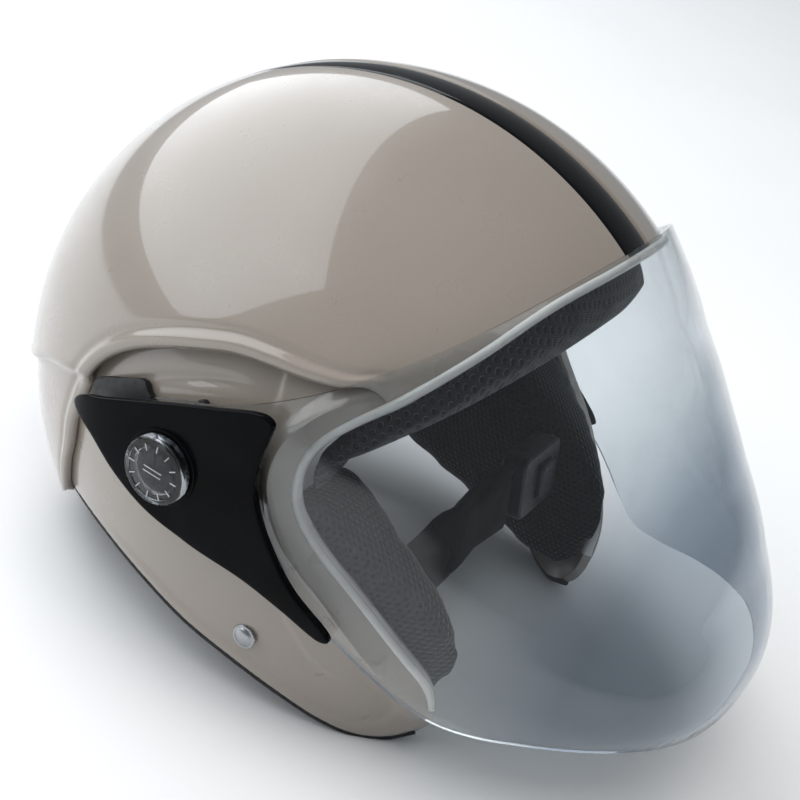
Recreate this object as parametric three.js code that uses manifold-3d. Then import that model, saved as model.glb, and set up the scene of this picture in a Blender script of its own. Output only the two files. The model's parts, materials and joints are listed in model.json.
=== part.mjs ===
// Open face motorcycle helmet with a clear bubble shield.
// Millimetres, +Z up. The face looks towards -Y and the wearer's right is -X.
// Everything is drawn in the helmet's own frame, whose origin is the middle of
// the dome, and the finished group is then leaned back and set down on Z = 0.
import * as THREE from 'three';
import { mergeVertices } from 'three/addons/utils/BufferGeometryUtils.js';
import ManifoldModule from 'manifold-3d';

const wasm = await ManifoldModule();
wasm.setup();

// ---------------------------------------------------------------- sizes, mm
const HALF_WIDTH = 115;      // middle of the dome to its side
const HALF_LENGTH = 140.3;   // middle of the dome to its front and back
const HALF_HEIGHT = 130.6;   // middle of the dome to the crown
const LOW_SIDE = 200;        // how far down the side wall would close
const LOW_FRONT = 140;       // how far down the front would close
const LOW_BACK = 116;        // how far down the nape wall would close
const WALL = 4.5;            // moulded shell
const RECESS = 6;            // side recess under the dome's rim
const REAR_STEP = 2.4;       // rear panel under the dome's crease
const FIT = 0.4;             // gap between nested layers
const CAVITY = 36;           // dome surface to the inside of the foam
const PADDING = 7;           // crown lining
const TRIM = 3.4;            // thickness of the edge beadings
const TRIM_OUT = 0.7;        // neck beading below the shell's edge
const STRIP_WIDTH = 18.4;      // gloss centre strip
const STRIP_DEEP = 2.6;      // channel the strip lies in
const STRIP_THICK = 1.6;
const STRIP_LOW = 0.7;       // strip's face below the dome
const HUB_Y = 7.5;           // shield pivot
const HUB_Z = 11;
const VISOR_HALF = 115.2;    // shield's half width over the pivots
const VISOR_THICK = 2.2;
const PLATE_HALF = 119.2;    // side plates' outer face over the pivots
const PLATE_THICK = 3.2;
const SCREW_DIA = 6;
const SCREW_HEAD_DIA = 16;
const BUSH_DIA = 14;
const CAP_DIA = 25;
const CAP_HIGH = 4.6;
const NUT_DIA = 13;
const RIVET_DIA = 9.5;
const RIVET_SHANK = 4.8;
const RIVET_Y = -19.5;
const RIVET_Z = -54;
const STRAP_WIDTH = 20;
const STRAP_THICK = 1.8;
const STRAP_Y = -60;
const STRAP_Z = -31.5;
const SLEEVE_WIDTH = 30;
const SLEEVE_THICK = 5;
const SLEEVE_FROM = 0.46;      // where it starts, as a share of the strap's length
const BUCKLE_X = 39;         // middle of the buckle from the helmet's middle
const BUCKLE_LONG = 34;
const BUCKLE_WIDE = 27;
const BUCKLE_THICK = 11;
const NAPE_Z = -59.2;        // table line under the nape
const CHEEK_INNER = 60;      // helmet's middle to the cheek pads

const AROUND = 36;           // facets round the dome
const DOWN = 22;             // facets from crown to base
const FORE = HALF_LENGTH / 140.3;
const RISE = HALF_HEIGHT / 130.6;
const SPAN = HALF_WIDTH / 115;
const HUB = [HUB_Y * FORE, HUB_Z * RISE];

// ------------------------------------------------------------------ finishes
function finish(color, roughness, metalness = 0, opacity = 1) {
  return new THREE.MeshStandardMaterial({
    color, roughness, metalness, opacity, transparent: opacity < 1,
  });
}
const PAINT = () => finish(0xa39a90, 0.18);
const BLACK_GLOSS = () => finish(0x0b0c0e, 0.12);
const SATIN = () => finish(0xb9b5b0, 0.3);
const RUBBER = () => finish(0x141416, 0.8);
const FOAM = () => finish(0x2a2a2c, 0.95);
const CLOTH = () => finish(0x17181b, 0.95);
const MESH_CLOTH = () => finish(0x2b3038, 0.95);
const CLEAR = () => finish(0xb8c2cb, 0.05, 0, 0.35);
const STEEL = () => finish(0xc4c6c8, 0.3, 1);
const WEBBING = () => finish(0x121317, 0.9);
const PLASTIC = () => finish(0x16171a, 0.45);

// ---------------------------------------------------------- solid operations
function solid(geometry) {
  const bare = geometry.clone();
  for (const name of ['normal', 'uv']) bare.deleteAttribute(name);
  const merged = mergeVertices(bare, 1e-4);
  return new wasm.Manifold(new wasm.Mesh({
    numProp: 3,
    vertProperties: Float32Array.from(merged.attributes.position.array),
    triVerts: Uint32Array.from(merged.index.array),
  }));
}

function geometryOf(body) {
  const mesh = body.getMesh();
  const count = mesh.vertProperties.length / mesh.numProp;
  const position = new Float32Array(count * 3);
  for (let i = 0; i < count; i += 1) {
    for (let k = 0; k < 3; k += 1) {
      position[i * 3 + k] = mesh.vertProperties[i * mesh.numProp + k];
    }
  }
  const out = new THREE.BufferGeometry();
  out.setAttribute('position', new THREE.BufferAttribute(position, 3));
  out.setIndex([...mesh.triVerts]);
  out.computeVertexNormals();
  return out;
}

function part(name, body, material) {
  const geometry = body.isBufferGeometry ? body : geometryOf(body);
  const mesh = new THREE.Mesh(geometry, material);
  mesh.name = name;
  return mesh;
}

// ------------------------------------------------------------ surface helpers
const smooth = (t) => {
  const k = Math.min(1, Math.max(0, t));
  return k * k * (3 - 2 * k);
};
const rad = (deg) => deg * Math.PI / 180;

// The dome closes lower at the sides than at the face and the nape.
function depthBelow(theta) {
  const front = Math.cos(theta) > 0;
  const side = Math.sin(theta) ** (front ? 2 : 6);
  return LOW_SIDE * RISE * side + (front ? LOW_FRONT : LOW_BACK) * RISE * (1 - side);
}

const rearFade = (y) => smooth((y / FORE - 76) / 22);

// The side wall runs out into the dome at the brow, and into the rear panel.
function sideInset(y, z) {
  const brow = smooth((-y / FORE - 50) / 30) * smooth((z / RISE - 10) / 30);
  const rear = rearFade(y);
  return RECESS * (1 - brow) * (1 - rear) + 0.8 * brow + REAR_STEP * rear;
}

// Inner faces stay clear of the recess low down and follow the dome above it.
function innerInset(y, phi) {
  const low = 1 - smooth((phi - rad(24)) / rad(18));
  return WALL + low * (RECESS + (REAR_STEP - RECESS) * rearFade(y));
}

function domePoint(theta, phi, inset) {
  const c = phi >= 0 ? HALF_HEIGHT : depthBelow(theta);
  return [
    (HALF_WIDTH - inset) * Math.cos(phi) * Math.sin(theta),
    -(HALF_LENGTH - inset) * Math.cos(phi) * Math.cos(theta),
    (c - inset) * Math.sin(phi),
  ];
}

// A closed globe of facets from a function of (longitude, latitude).
function globe(point, around, down) {
  const position = [];
  const index = [];
  position.push(...point(0, Math.PI / 2));
  for (let j = 1; j < down; j += 1) {
    const phi = Math.PI / 2 - Math.PI * j / down;
    for (let i = 0; i < around; i += 1) {
      position.push(...point(2 * Math.PI * i / around, phi));
    }
  }
  position.push(...point(0, -Math.PI / 2));
  const last = position.length / 3 - 1;
  const at = (j, i) => 1 + (j - 1) * around + (i % around);
  for (let i = 0; i < around; i += 1) {
    index.push(0, at(1, i), at(1, i + 1));
    index.push(last, at(down - 1, i + 1), at(down - 1, i));
    for (let j = 1; j < down - 1; j += 1) {
      index.push(at(j, i), at(j + 1, i), at(j + 1, i + 1));
      index.push(at(j, i), at(j + 1, i + 1), at(j, i + 1));
    }
  }
  const out = new THREE.BufferGeometry();
  out.setAttribute('position', new THREE.Float32BufferAttribute(position, 3));
  out.setIndex(index);
  return out;
}

const dome = (inset) => solid(globe((t, p) => domePoint(t, p, inset), AROUND, DOWN));

function sideSkin(extra) {
  return solid(globe((t, p) => {
    const [, y, z] = domePoint(t, p, 0);
    return domePoint(t, p, sideInset(y, z) + extra);
  }, AROUND, DOWN));
}

function innerSkin(extra) {
  return solid(globe((t, p) => {
    const [, y] = domePoint(t, p, 0);
    return domePoint(t, p, innerInset(y, p) + extra);
  }, AROUND, DOWN));
}

// Half width of the side skin at a place in the side view, or 0 outside it.
function skinHalf(y, z, inset) {
  const off = sideInset(y, z) + inset;
  const b = HALF_LENGTH - off;
  let theta = Math.PI / 2;
  let x = 0;
  for (let i = 0; i < 8; i += 1) {
    const c = (z >= 0 ? HALF_HEIGHT : depthBelow(theta)) - off;
    const left = 1 - (y / b) ** 2 - (z / c) ** 2;
    x = left > 0 ? (HALF_WIDTH - off) * Math.sqrt(left) : 0;
    theta = Math.atan2(x / (HALF_WIDTH - off), -y / b);
  }
  return x;
}

// ----------------------------------------------------- side view (Y, Z) lines
const place = ([y, z]) => new THREE.Vector2(y * FORE, z * RISE);

// Finished edge: brow, round the face opening, cheek, lower edge and nape.
const BROW_END = [-145, 114];
const FACE_EDGE = [
  [-106.9, 84.4], [-97.5, 77.1], [-84, 62.6], [-66, 46.4], [-52, 36], [-45.8, 30.6],
  [-41, 24], [-38.7, 16], [-39.4, 7], [-43.3, -1.3], [-50, -10.5], [-57.6, -19.6],
  [-65, -29.8], [-71.6, -40.6], [-77.3, -51], [-81.4, -60], [-82.8, -68], [-82, -76.5],
];
const LOWER_EDGE = [
  [-79, -85.5], [-73, -91.6], [-64, -95], [-54, -93.4], [-43.5, -87.4], [-30, -78],
  [-12.1, -67.6], [7.8, -58.4], [26.2, -49.2], [44, -41.8], [58, -37.4], [70, -35.4],
  [80, -36.6], [91, -43.5], [100, -51.5], [106, -57], [111, -59.4], [116, -58.4], [124, -56],
];
const SHELL_OUTLINE = [
  ...FACE_EDGE, ...LOWER_EDGE, [175, -74], [175, 175], [-175, 175], [-175, 137],
];

// Lower rim of the dome, and the front edge of the rear panel.
const DOME_RIM = [
  [-72, 40], [-57.5, 52.9], [-47.4, 50.6], [-33.8, 52.1], [-22.9, 53.6], [-9.6, 54.3],
  [3.9, 52.4], [18.3, 49], [33.9, 43.5], [48.3, 35.1], [57.7, 22.4], [70, 21.4], [84, 18.5],
  [98, 12], [112, 6], [175, 2],
];
const REAR_RIM = [
  [57.7, 22.4], [63.5, 11], [67, 2], [69.6, -9], [74, -20], [80, -38], [86, -90],
];

const FOAM_OUTLINE = [
  [-175, 164], [-95.7, 97.2], [-73, 75.5], [-55, 59.5], [-38, 46], [-28, 35], [-22.5, 20],
  [-22, 6], [-14, -4], [0, -10], [34, -14], [66, -20], [86, -30], [104, -43], [120, -51],
  [175, -60], [175, 175],
];
const LINING_OUTLINE = [
  [-62, 66], [-42, 27], [-20, 15], [10, 4], [40, -2], [80, -20], [175, -20], [175, 175],
  [-62, 175],
];
const CHEEK_OUTLINE = [
  [-43, 3], [-56, -9], [-69, -21], [-80, -33], [-87, -46], [-88.8, -58], [-87, -71],
  [-81, -80], [-72, -84.6], [-54, -84], [-28, -69], [0, -55.5], [22, -44.5], [34, -38],
  [34, -17], [0, -13], [-24, -5], [-31, 8],
];
const BASE_OUTLINE = [
  [48, 14], [51.4, 20], [51, 23], [48.6, 26], [44.8, 28.7], [34.5, 32.3], [25.5, 35], [22.8, 34.6],
  [20.4, 32], [18, 28], [-2, 32], [-3.4, 35], [-4.2, 38.4], [-5.6, 39.8], [-7.4, 40], [-8.6, 38.6],
  [-9.4, 34], [-14, 31], [-20, 18], [-16, -2], [4, -12], [28, -8], [42, 4],
];
const PLATE_OUTLINE = [
  [52, 19.5], [49, 23.2], [34, 27.8], [11, 33.6], [-11, 38.4], [-31, 41.6], [-34.6, 39.4],
  [-33.2, 33], [-30.6, 24], [-29.8, 14], [-32.5, 4], [-38, -7.5], [-46, -19.5],
  [-58, -31.5], [-59.6, -35], [-56.4, -36], [-42, -28.5], [-26.4, -21.5], [-3, -15],
  [16, -7.5], [29, 1.5], [40, 11.5],
];
const VISOR_OUTLINE = [
  [-145, 116], [-108.5, 91.5], [-97, 82.6], [-84, 72.6], [-66, 61], [-47, 50.5], [-28, 42.5],
  [-8, 36.5], [8, 34], [22, 29.5], [30, 19], [30.5, 7], [24, -5], [12, -11.5], [-4, -15.5],
  [-20, -20.5], [-34, -26], [-50, -31.5], [-60, -38], [-73, -50], [-81, -58], [-88, -63.6],
  [-95, -66.6], [-106, -67.4], [-124, -66.5], [-145, -66.5], [-160, -68.5], [-172, -72],
  [-260, -76], [-260, 116],
];

// Moves every corner of a closed outline sideways; positive grows it.
function offset(points, distance) {
  const turn = THREE.ShapeUtils.area(points) > 0 ? 1 : -1;
  return points.map((p, i) => {
    const a = points[(i + points.length - 1) % points.length];
    const b = points[(i + 1) % points.length];
    const u = p.clone().sub(a).normalize();
    const v = b.clone().sub(p).normalize();
    const n = new THREE.Vector2(u.y + v.y, -u.x - v.x).normalize();
    const grow = distance / Math.max(0.5, n.x * u.y - n.y * u.x);
    return p.clone().add(n.multiplyScalar(turn * grow));
  });
}

// A slab along X over an outline in the side view.
function slab(points, grow = 0, from = -200, to = 200) {
  return prism(offset(points.map(place), grow), from, to);
}

function prism(corners, from = -200, to = 200) {
  const shape = new THREE.Shape(corners);
  const geometry = new THREE.ExtrudeGeometry(shape, { depth: to - from, bevelEnabled: false });
  geometry.applyMatrix4(new THREE.Matrix4().set(
    0, 0, 1, from,
    1, 0, 0, 0,
    0, 1, 0, 0,
    0, 0, 0, 1,
  ));
  return solid(geometry);
}

const boxOf = (w, d, h, x, y, z) => solid(new THREE.BoxGeometry(w, d, h).translate(x, y, z));

// A round bar along X, from one X to another, at a place in the side view.
function barX(diameter, from, to, y, z, facets = 24) {
  const geometry = new THREE.CylinderGeometry(diameter / 2, diameter / 2, Math.abs(to - from), facets);
  geometry.rotateZ(Math.PI / 2);
  geometry.translate((from + to) / 2, y, z);
  return solid(geometry);
}

// The shell stops short of the finished line by the width of its beading.
const SHELL_GROW = -(TRIM + 0.7);
const LOW_GROW = -0.8;

// -------------------------------------------------------------- hard shell
function shellOutline(grow) {
  const all = SHELL_OUTLINE.map(place);
  const face = offset(all, SHELL_GROW + grow).slice(0, FACE_EDGE.length);
  return prism([...face, ...offset(all, LOW_GROW + grow).slice(FACE_EDGE.length)]);
}

function domeRegion() {
  return slab([...DOME_RIM, [175, 175], [-175, 175], [-175, 40]]);
}

function rearRegion() {
  return slab([...REAR_RIM, [175, -90], [175, 26], [58, 26]]);
}

function stripChannel() {
  const band = boxOf(STRIP_WIDTH + 0.6, 600, 300, 0, 0, 150 + 30 * RISE);
  return dome(-6).subtract(dome(STRIP_DEEP)).intersect(band);
}

function outerShell() {
  const skin = sideSkin(0).add(dome(0).intersect(domeRegion()))
    .add(dome(REAR_STEP).intersect(rearRegion()));
  let body = skin.subtract(innerSkin(0)).subtract(stripChannel());
  body = body.intersect(shellOutline(0));
  for (const side of [-1, 1]) {
    body = body.subtract(barX(SCREW_DIA + 0.8, side * 80 * SPAN, side * 130 * SPAN, ...HUB));
    body = body.subtract(barX(RIVET_SHANK + 0.6, side * 80 * SPAN, side * 130 * SPAN,
      RIVET_Y * FORE, RIVET_Z * RISE));
  }
  return body;
}

function centreStrip() {
  const band = boxOf(STRIP_WIDTH, 600, 300, 0, 0, 150 + 30.4 * RISE);
  return dome(STRIP_LOW).subtract(dome(STRIP_LOW + STRIP_THICK)).intersect(band)
    .intersect(shellOutline(-1));
}

// Line through the middle of the wall along a run of the finished edge, from
// the right side through the helmet's middle to the left side.
function edgePath(points, inset) {
  const curve = new THREE.SplineCurve(points);
  const right = [];
  for (const p of curve.getSpacedPoints(160)) {
    const x = skinHalf(p.x, p.y, inset);
    if (x > 0) right.push(new THREE.Vector3(-x, p.x, p.y));
  }
  return right;
}

function mirrored(right, middle) {
  const left = right.map((p) => new THREE.Vector3(-p.x, p.y, p.z));
  return middle === 'start'
    ? [...left.reverse(), ...right]
    : [...right, ...left.reverse()];
}

function tube(points, radius, steps, facets) {
  const curve = new THREE.CatmullRomCurve3(points, false, 'centripetal');
  const ring = [];
  for (let i = 0; i < facets; i += 1) {
    const a = 2 * Math.PI * i / facets;
    ring.push(new THREE.Vector2(radius * Math.cos(a), radius * Math.sin(a)));
  }
  return new THREE.ExtrudeGeometry(new THREE.Shape(ring), {
    steps, extrudePath: curve, bevelEnabled: false,
  });
}

// Finished outline moved in, cut to one run of it.
function trimLine(first, last, grow) {
  return offset(SHELL_OUTLINE.map(place), grow).slice(first, last);
}

function faceTrim() {
  const run = trimLine(0, FACE_EDGE.length, -TRIM / 2);
  const lead = place(BROW_END).sub(place([-106.9, 84.4])).normalize().multiplyScalar(8);
  run.unshift(run[0].clone().add(lead));
  const points = mirrored(edgePath(run, WALL / 2), 'start');
  return tube(points, TRIM / 2, 84, 6);
}

function neckTrim() {
  const last = FACE_EDGE.length + LOWER_EDGE.length;
  const run = trimLine(FACE_EDGE.length + 1, last, TRIM_OUT - TRIM / 2);
  const points = mirrored(edgePath(run, WALL + TRIM / 2 + 0.6), 'end');
  return tube(points, TRIM / 2, 64, 6);
}

// ------------------------------------------------------------ inner layers
function foamShell() {
  let body = innerSkin(FIT).subtract(dome(CAVITY));
  body = body.intersect(slab(FOAM_OUTLINE));
  for (const side of [-1, 1]) {
    body = body.subtract(barX(NUT_DIA + 3, side * 90 * SPAN, side * 120 * SPAN, ...HUB));
  }
  return body;
}

function crownLining() {
  return dome(CAVITY + FIT).subtract(dome(CAVITY + PADDING)).intersect(slab(LINING_OUTLINE));
}

function browPad() {
  const edge = FACE_EDGE.slice(0, 6);
  const band = slab([[-175, 139], [-128, 101], ...edge, [-30, 20], [-30, 60], [-60, 175],
    [-175, 175]], 11);
  const reach = slab(FOAM_OUTLINE, 0.8);
  return innerSkin(4.5).subtract(dome(CAVITY + 9)).intersect(band).subtract(reach)
    .intersect(slab([[-175, 9.4], [-31, 9.4], [-31, 175], [-175, 175]]))
    .subtract(slab(LINING_OUTLINE, 0.8));
}

function cheekPad(side) {
  const start = side < 0 ? -200 : CHEEK_INNER * SPAN;
  const long = 200 - CHEEK_INNER * SPAN;
  const pad = innerSkin(1).subtract(dome(CAVITY + 15))
    .intersect(slab(CHEEK_OUTLINE, 0, start, start + long));
  return pad.subtract(solid(strapPiece(side, STRAP_WIDTH + 4, STRAP_THICK + 5, 4)))
    .subtract(barX(19, side * 82 * SPAN, side * 125 * SPAN, RIVET_Y * FORE, RIVET_Z * RISE));
}

function neckRoll() {
  const region = [[78, -31], [90, -39], [104, -50], [113, -55.5], [122, -60], [175, -62],
    [175, -52], [123, -52.5], [108, -46.4], [88, -32.6], [78, -26.6]];
  return innerSkin(1).subtract(dome(CAVITY + 8)).intersect(slab(region, -0.8))
    .intersect(slab(SHELL_OUTLINE, -2));
}

// -------------------------------------------------------------- clear shield
// Reach from the pivot line to the shield's face, by angle above the horizon.
const VISOR_REACH = [
  [-180, 150], [-90, 150], [-60, 152], [-42, 166], [-33, 185], [-24, 196], [-13, 176.5],
  [-3, 157.5], [8, 145], [18, 139.5], [36, 139], [60, 139], [120, 140], [180, 150],
];

// Smooth curve through a table of [x, y], with no overshoot between its rows.
function along(table, x) {
  const rise = (i) => (table[i + 1][1] - table[i][1]) / (table[i + 1][0] - table[i][0]);
  const slope = (i) => {
    if (i === 0 || i === table.length - 1) return 0;
    const [a, b] = [rise(i - 1), rise(i)];
    return a * b <= 0 ? 0 : 2 * a * b / (a + b);
  };
  let i = 0;
  while (i < table.length - 2 && table[i + 1][0] < x) i += 1;
  const [x0, y0] = table[i];
  const [x1, y1] = table[i + 1];
  const h = x1 - x0;
  const t = (x - x0) / h;
  const u = 1 - t;
  return y0 * u * u * (1 + 2 * t) + y1 * t * t * (1 + 2 * u)
    + h * t * u * (slope(i) * u - slope(i + 1) * t);
}

const visorReach = (deg) => along(VISOR_REACH, deg) * FORE;
const visorPower = (deg) => 2.5 - 0.35 * smooth((deg - 5) / 30);

// A body swept round the pivot line whose sections bulge like a lens.
function lens(half, reach, power) {
  return solid(globe((t, p) => {
    const deg = Math.atan2(-Math.sin(t), Math.cos(t)) * 180 / Math.PI;
    const n = power(deg);
    const c = Math.max(0, Math.cos(p)) ** (2 / n);
    const s = Math.sign(p) * Math.abs(Math.sin(p)) ** (2 / n);
    const r = reach(deg) * c;
    return [half * s, HUB[0] - r * Math.cos(t), HUB[1] - r * Math.sin(t)];
  }, 60, 22));
}

const visorBody = (inset) => lens(
  VISOR_HALF * SPAN - inset, (deg) => visorReach(deg) - inset, visorPower);

function visor() {
  let body = visorBody(0).subtract(visorBody(VISOR_THICK)).intersect(slab(VISOR_OUTLINE));
  for (const side of [-1, 1]) {
    body = body.subtract(barX(BUSH_DIA + 0.8, side * 80 * SPAN, side * 130 * SPAN, ...HUB));
  }
  return body;
}

// ------------------------------------------------------------- side covers
const PLATE_REACH = [
  [-180, 68], [-120, 72], [-90, 110], [-60, 160], [-42, 174], [-33, 191], [-20, 199],
  [60, 199], [85, 130], [115, 76], [180, 68],
];
const platePower = (deg) => 2.5 + 1.5 * smooth((Math.abs(deg) - 70) / 50);
const plateBody = (inset) => lens(
  PLATE_HALF * SPAN - inset, (deg) => along(PLATE_REACH, deg) * FORE - inset, platePower);

function sidePlate(side) {
  const from = side < 0 ? -200 : 0;
  return plateBody(0).subtract(plateBody(PLATE_THICK))
    .intersect(slab(PLATE_OUTLINE, 0, from, from + 200))
    .subtract(barX(SCREW_DIA + 1, side * 80 * SPAN, side * 130 * SPAN, ...HUB));
}

function pivotBase(side) {
  const from = side < 0 ? -200 : 0;
  return sideSkin(-3.2).subtract(sideSkin(-0.3))
    .intersect(slab(BASE_OUTLINE, 0, from, from + 200))
    .subtract(barX(SCREW_DIA + 0.8, side * 80 * SPAN, side * 130 * SPAN, ...HUB));
}

// Turns a profile of [radius, distance out] about the pivot line.
function turned(profile, side, start, [y, z], facets = 20) {
  const points = profile.map(([r, x]) => new THREE.Vector2(r, x));
  const geometry = new THREE.LatheGeometry(points, facets);
  geometry.rotateZ(-Math.PI / 2 * side);
  geometry.translate(side * start, y, z);
  return geometry;
}

const HUB_SKIN = skinHalf(...HUB, 0);
const HUB_PLATE = PLATE_HALF * SPAN;

function pivotBush(side) {
  const inner = HUB_SKIN + 3.5;
  const long = HUB_PLATE - PLATE_THICK - 0.5 - inner;
  const r = BUSH_DIA / 2;
  const bore = SCREW_DIA / 2 + 0.3;
  return turned([[bore, 0], [r, 0], [r, long], [bore, long], [bore, 0]], side, inner, HUB);
}

function pivotScrew(side) {
  const inner = HUB_SKIN - WALL - 6;
  const under = HUB_PLATE + 0.3 - inner;
  const r = SCREW_DIA / 2;
  const head = SCREW_HEAD_DIA / 2;
  const body = solid(turned([[0, 0], [r - 0.5, 0], [r, 0.6], [r, under], [head, under],
    [head, under + 1.6], [head - 0.9, under + 2.4], [0, under + 2.4]], side, inner, HUB));
  const slot = boxOf(1.2, 1.8, SCREW_HEAD_DIA + 2, side * (inner + under + 2.2), ...HUB);
  return body.subtract(slot);
}

function pivotNut(side) {
  const outer = HUB_SKIN - WALL - 1.6;
  const bore = SCREW_DIA / 2 + 0.3;
  const r = NUT_DIA / 2;
  return turned([[bore, 0], [r, 0], [r, 3.4], [bore, 3.4], [bore, 0]], side, outer - 3.4, HUB);
}

function hubCap(side) {
  const r = CAP_DIA / 2;
  const room = SCREW_HEAD_DIA / 2 + 0.6;
  const profile = [[0, 3.2], [room, 3.2], [room, 0], [r - 0.6, 0], [r, 0.6],
    [r, CAP_HIGH - 1], [r - 1, CAP_HIGH], [0, CAP_HIGH]];
  let body = solid(turned(profile, side, HUB_PLATE + 0.4, HUB, 28));
  for (let i = 0; i < 12; i += 1) {
    const tick = new THREE.BoxGeometry(0.8, 0.7, 2.4);
    tick.translate(0, 0, r - 2.6);
    tick.rotateX(2 * Math.PI * i / 12);
    tick.translate(side * (HUB_PLATE + 0.4 + CAP_HIGH), ...HUB);
    body = body.subtract(solid(tick));
  }
  return body;
}

// ---------------------------------------------------------- chin strap, rivets
const RIVET_SKIN = () => skinHalf(RIVET_Y * FORE, RIVET_Z * RISE, 0);

// A flat band along a level path; its width stands upright.
function band(points, width, thick, from) {
  const position = [];
  const index = [];
  const curve = new THREE.CatmullRomCurve3(points, false, 'centripetal');
  const count = 20;
  for (let i = 0; i <= count; i += 1) {
    const way = from + (1 - from) * i / count;
    const p = curve.getPointAt(way);
    const t = curve.getTangentAt(way);
    const n = new THREE.Vector3(-t.y, t.x, 0).normalize().multiplyScalar(thick / 2);
    for (const [k, up] of [[-1, -1], [1, -1], [1, 1], [-1, 1]]) {
      position.push(p.x + k * n.x, p.y + k * n.y, p.z + up * width / 2);
    }
  }
  const quad = (a, b, c, d) => index.push(a, b, c, a, c, d);
  for (let i = 0; i < count; i += 1) {
    for (let k = 0; k < 4; k += 1) {
      const a = i * 4 + k;
      const b = i * 4 + (k + 1) % 4;
      quad(a, b, b + 4, a + 4);
    }
  }
  quad(0, 3, 2, 1);
  const e = count * 4;
  quad(e, e + 1, e + 2, e + 3);
  const out = new THREE.BufferGeometry();
  out.setAttribute('position', new THREE.Float32BufferAttribute(position, 3));
  out.setIndex(index);
  return out;
}

function strapPiece(side, width, thick, longer = 0, from = 0) {
  const start = RIVET_SKIN() - WALL - 6.6;
  const z = (v) => v * RISE;
  const end = side < 0 ? BUCKLE_X - BUCKLE_LONG / 2 - 6 : -(BUCKLE_X + BUCKLE_LONG / 2) - 0.8;
  const at = (x, y, h) => new THREE.Vector3(side * x, y * FORE, z(h));
  const last = new THREE.Vector3(side < 0 ? end : -end, STRAP_Y * FORE, z(STRAP_Z));
  const points = [at(start, RIVET_Y, RIVET_Z), at(start - 12, RIVET_Y - 8, RIVET_Z),
    at(start - 24, RIVET_Y - 24, RIVET_Z + 0.5)];
  if (longer) points.unshift(at(start + longer, RIVET_Y + longer * 0.6, RIVET_Z));
  if (side < 0) points.push(at(36 * SPAN, STRAP_Y, STRAP_Z), at(10, STRAP_Y, STRAP_Z));
  if (side > 0) points.push(at(62 * SPAN, STRAP_Y + 0.8, STRAP_Z));
  points.push(last);
  return band(points, width, thick, from);
}

// A soft cover round the long end of the chin strap, up to the buckle.
function strapSleeve() {
  return solid(strapPiece(-1, SLEEVE_WIDTH, SLEEVE_THICK, 0, SLEEVE_FROM))
    .subtract(solid(strapPiece(-1, STRAP_WIDTH, STRAP_THICK)));
}

function strapRivet(side) {
  const skin = RIVET_SKIN();
  const long = WALL + 5.4;
  const r = RIVET_DIA / 2;
  const s = RIVET_SHANK / 2;
  const profile = [[0, 0], [s, 0], [s, long + 0.8], [r, long + 0.8], [r - 0.3, long + 1.7],
    [r * 0.6, long + 2.7], [0, long + 3.1]];
  return turned(profile, side, skin - long, [RIVET_Y * FORE, RIVET_Z * RISE], 24);
}

function rivetWasher(side) {
  const outer = RIVET_SKIN() - WALL - 2.2;
  const bore = RIVET_SHANK / 2 + 0.2;
  const r = RIVET_DIA / 2 + 1;
  return turned([[bore, 0], [r, 0], [r, 1.2], [bore, 1.2], [bore, 0]], side, outer - 1.2,
    [RIVET_Y * FORE, RIVET_Z * RISE]);
}

// ------------------------------------------------------------------- buckle
const BUCKLE = [BUCKLE_X, STRAP_Y * FORE, STRAP_Z * RISE];

// A block with rounded upright edges, its faces square to the axes.
function roundedBlock(long, thick, wide, corner, [x, y, z]) {
  const a = long / 2 - corner;
  const b = wide / 2 - corner;
  const shape = new THREE.Shape();
  shape.absarc(a, b, corner, 0, Math.PI / 2);
  shape.absarc(-a, b, corner, Math.PI / 2, Math.PI);
  shape.absarc(-a, -b, corner, Math.PI, Math.PI * 1.5);
  shape.absarc(a, -b, corner, Math.PI * 1.5, Math.PI * 2);
  const geometry = new THREE.ExtrudeGeometry(shape, {
    depth: thick - 1.6, bevelEnabled: true, bevelThickness: 0.8, bevelSize: 0.8,
    bevelOffset: -0.8, bevelSegments: 1, curveSegments: 4,
  });
  geometry.translate(0, 0, -(thick - 1.6) / 2);
  geometry.rotateX(Math.PI / 2);
  geometry.translate(x, y, z);
  return solid(geometry);
}

function buckleHousing() {
  const [x, y, z] = BUCKLE;
  const block = roundedBlock(BUCKLE_LONG, BUCKLE_THICK, BUCKLE_WIDE, 4, BUCKLE);
  const slot = boxOf(28, 3, 18.6, x - BUCKLE_LONG / 2 + 12, y + 1.5, z);
  const well = boxOf(12.8, 6, 14.8, x + 2, y - BUCKLE_THICK / 2 + 1, z);
  return block.subtract(slot).subtract(well);
}

function buckleTongue() {
  const [x, y, z] = BUCKLE;
  const from = x - BUCKLE_LONG / 2 - 5.4;
  return boxOf(28, 1.8, 18, from + 14, y + 1.5, z);
}

function buckleButton() {
  const [x, y, z] = BUCKLE;
  return roundedBlock(12, 4, 14, 2, [x + 2, y - BUCKLE_THICK / 2 - 0.6, z]);
}

// ------------------------------------------------------- standing on the table
// The table touches the lower edge under the cheeks and under the nape.
const UNDER_CHEEK = place([-63, -95.2]);
const UNDER_NAPE = place([111, NAPE_Z]);
const LEAN = UNDER_NAPE.clone().sub(UNDER_CHEEK).angle();

function aboveTable(body) {
  const room = new THREE.BoxGeometry(400, 600, 400);
  room.translate(0, 0, 200);
  room.rotateX(LEAN);
  room.translate(0, UNDER_CHEEK.x, UNDER_CHEEK.y);
  return body.intersect(solid(room));
}

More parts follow.
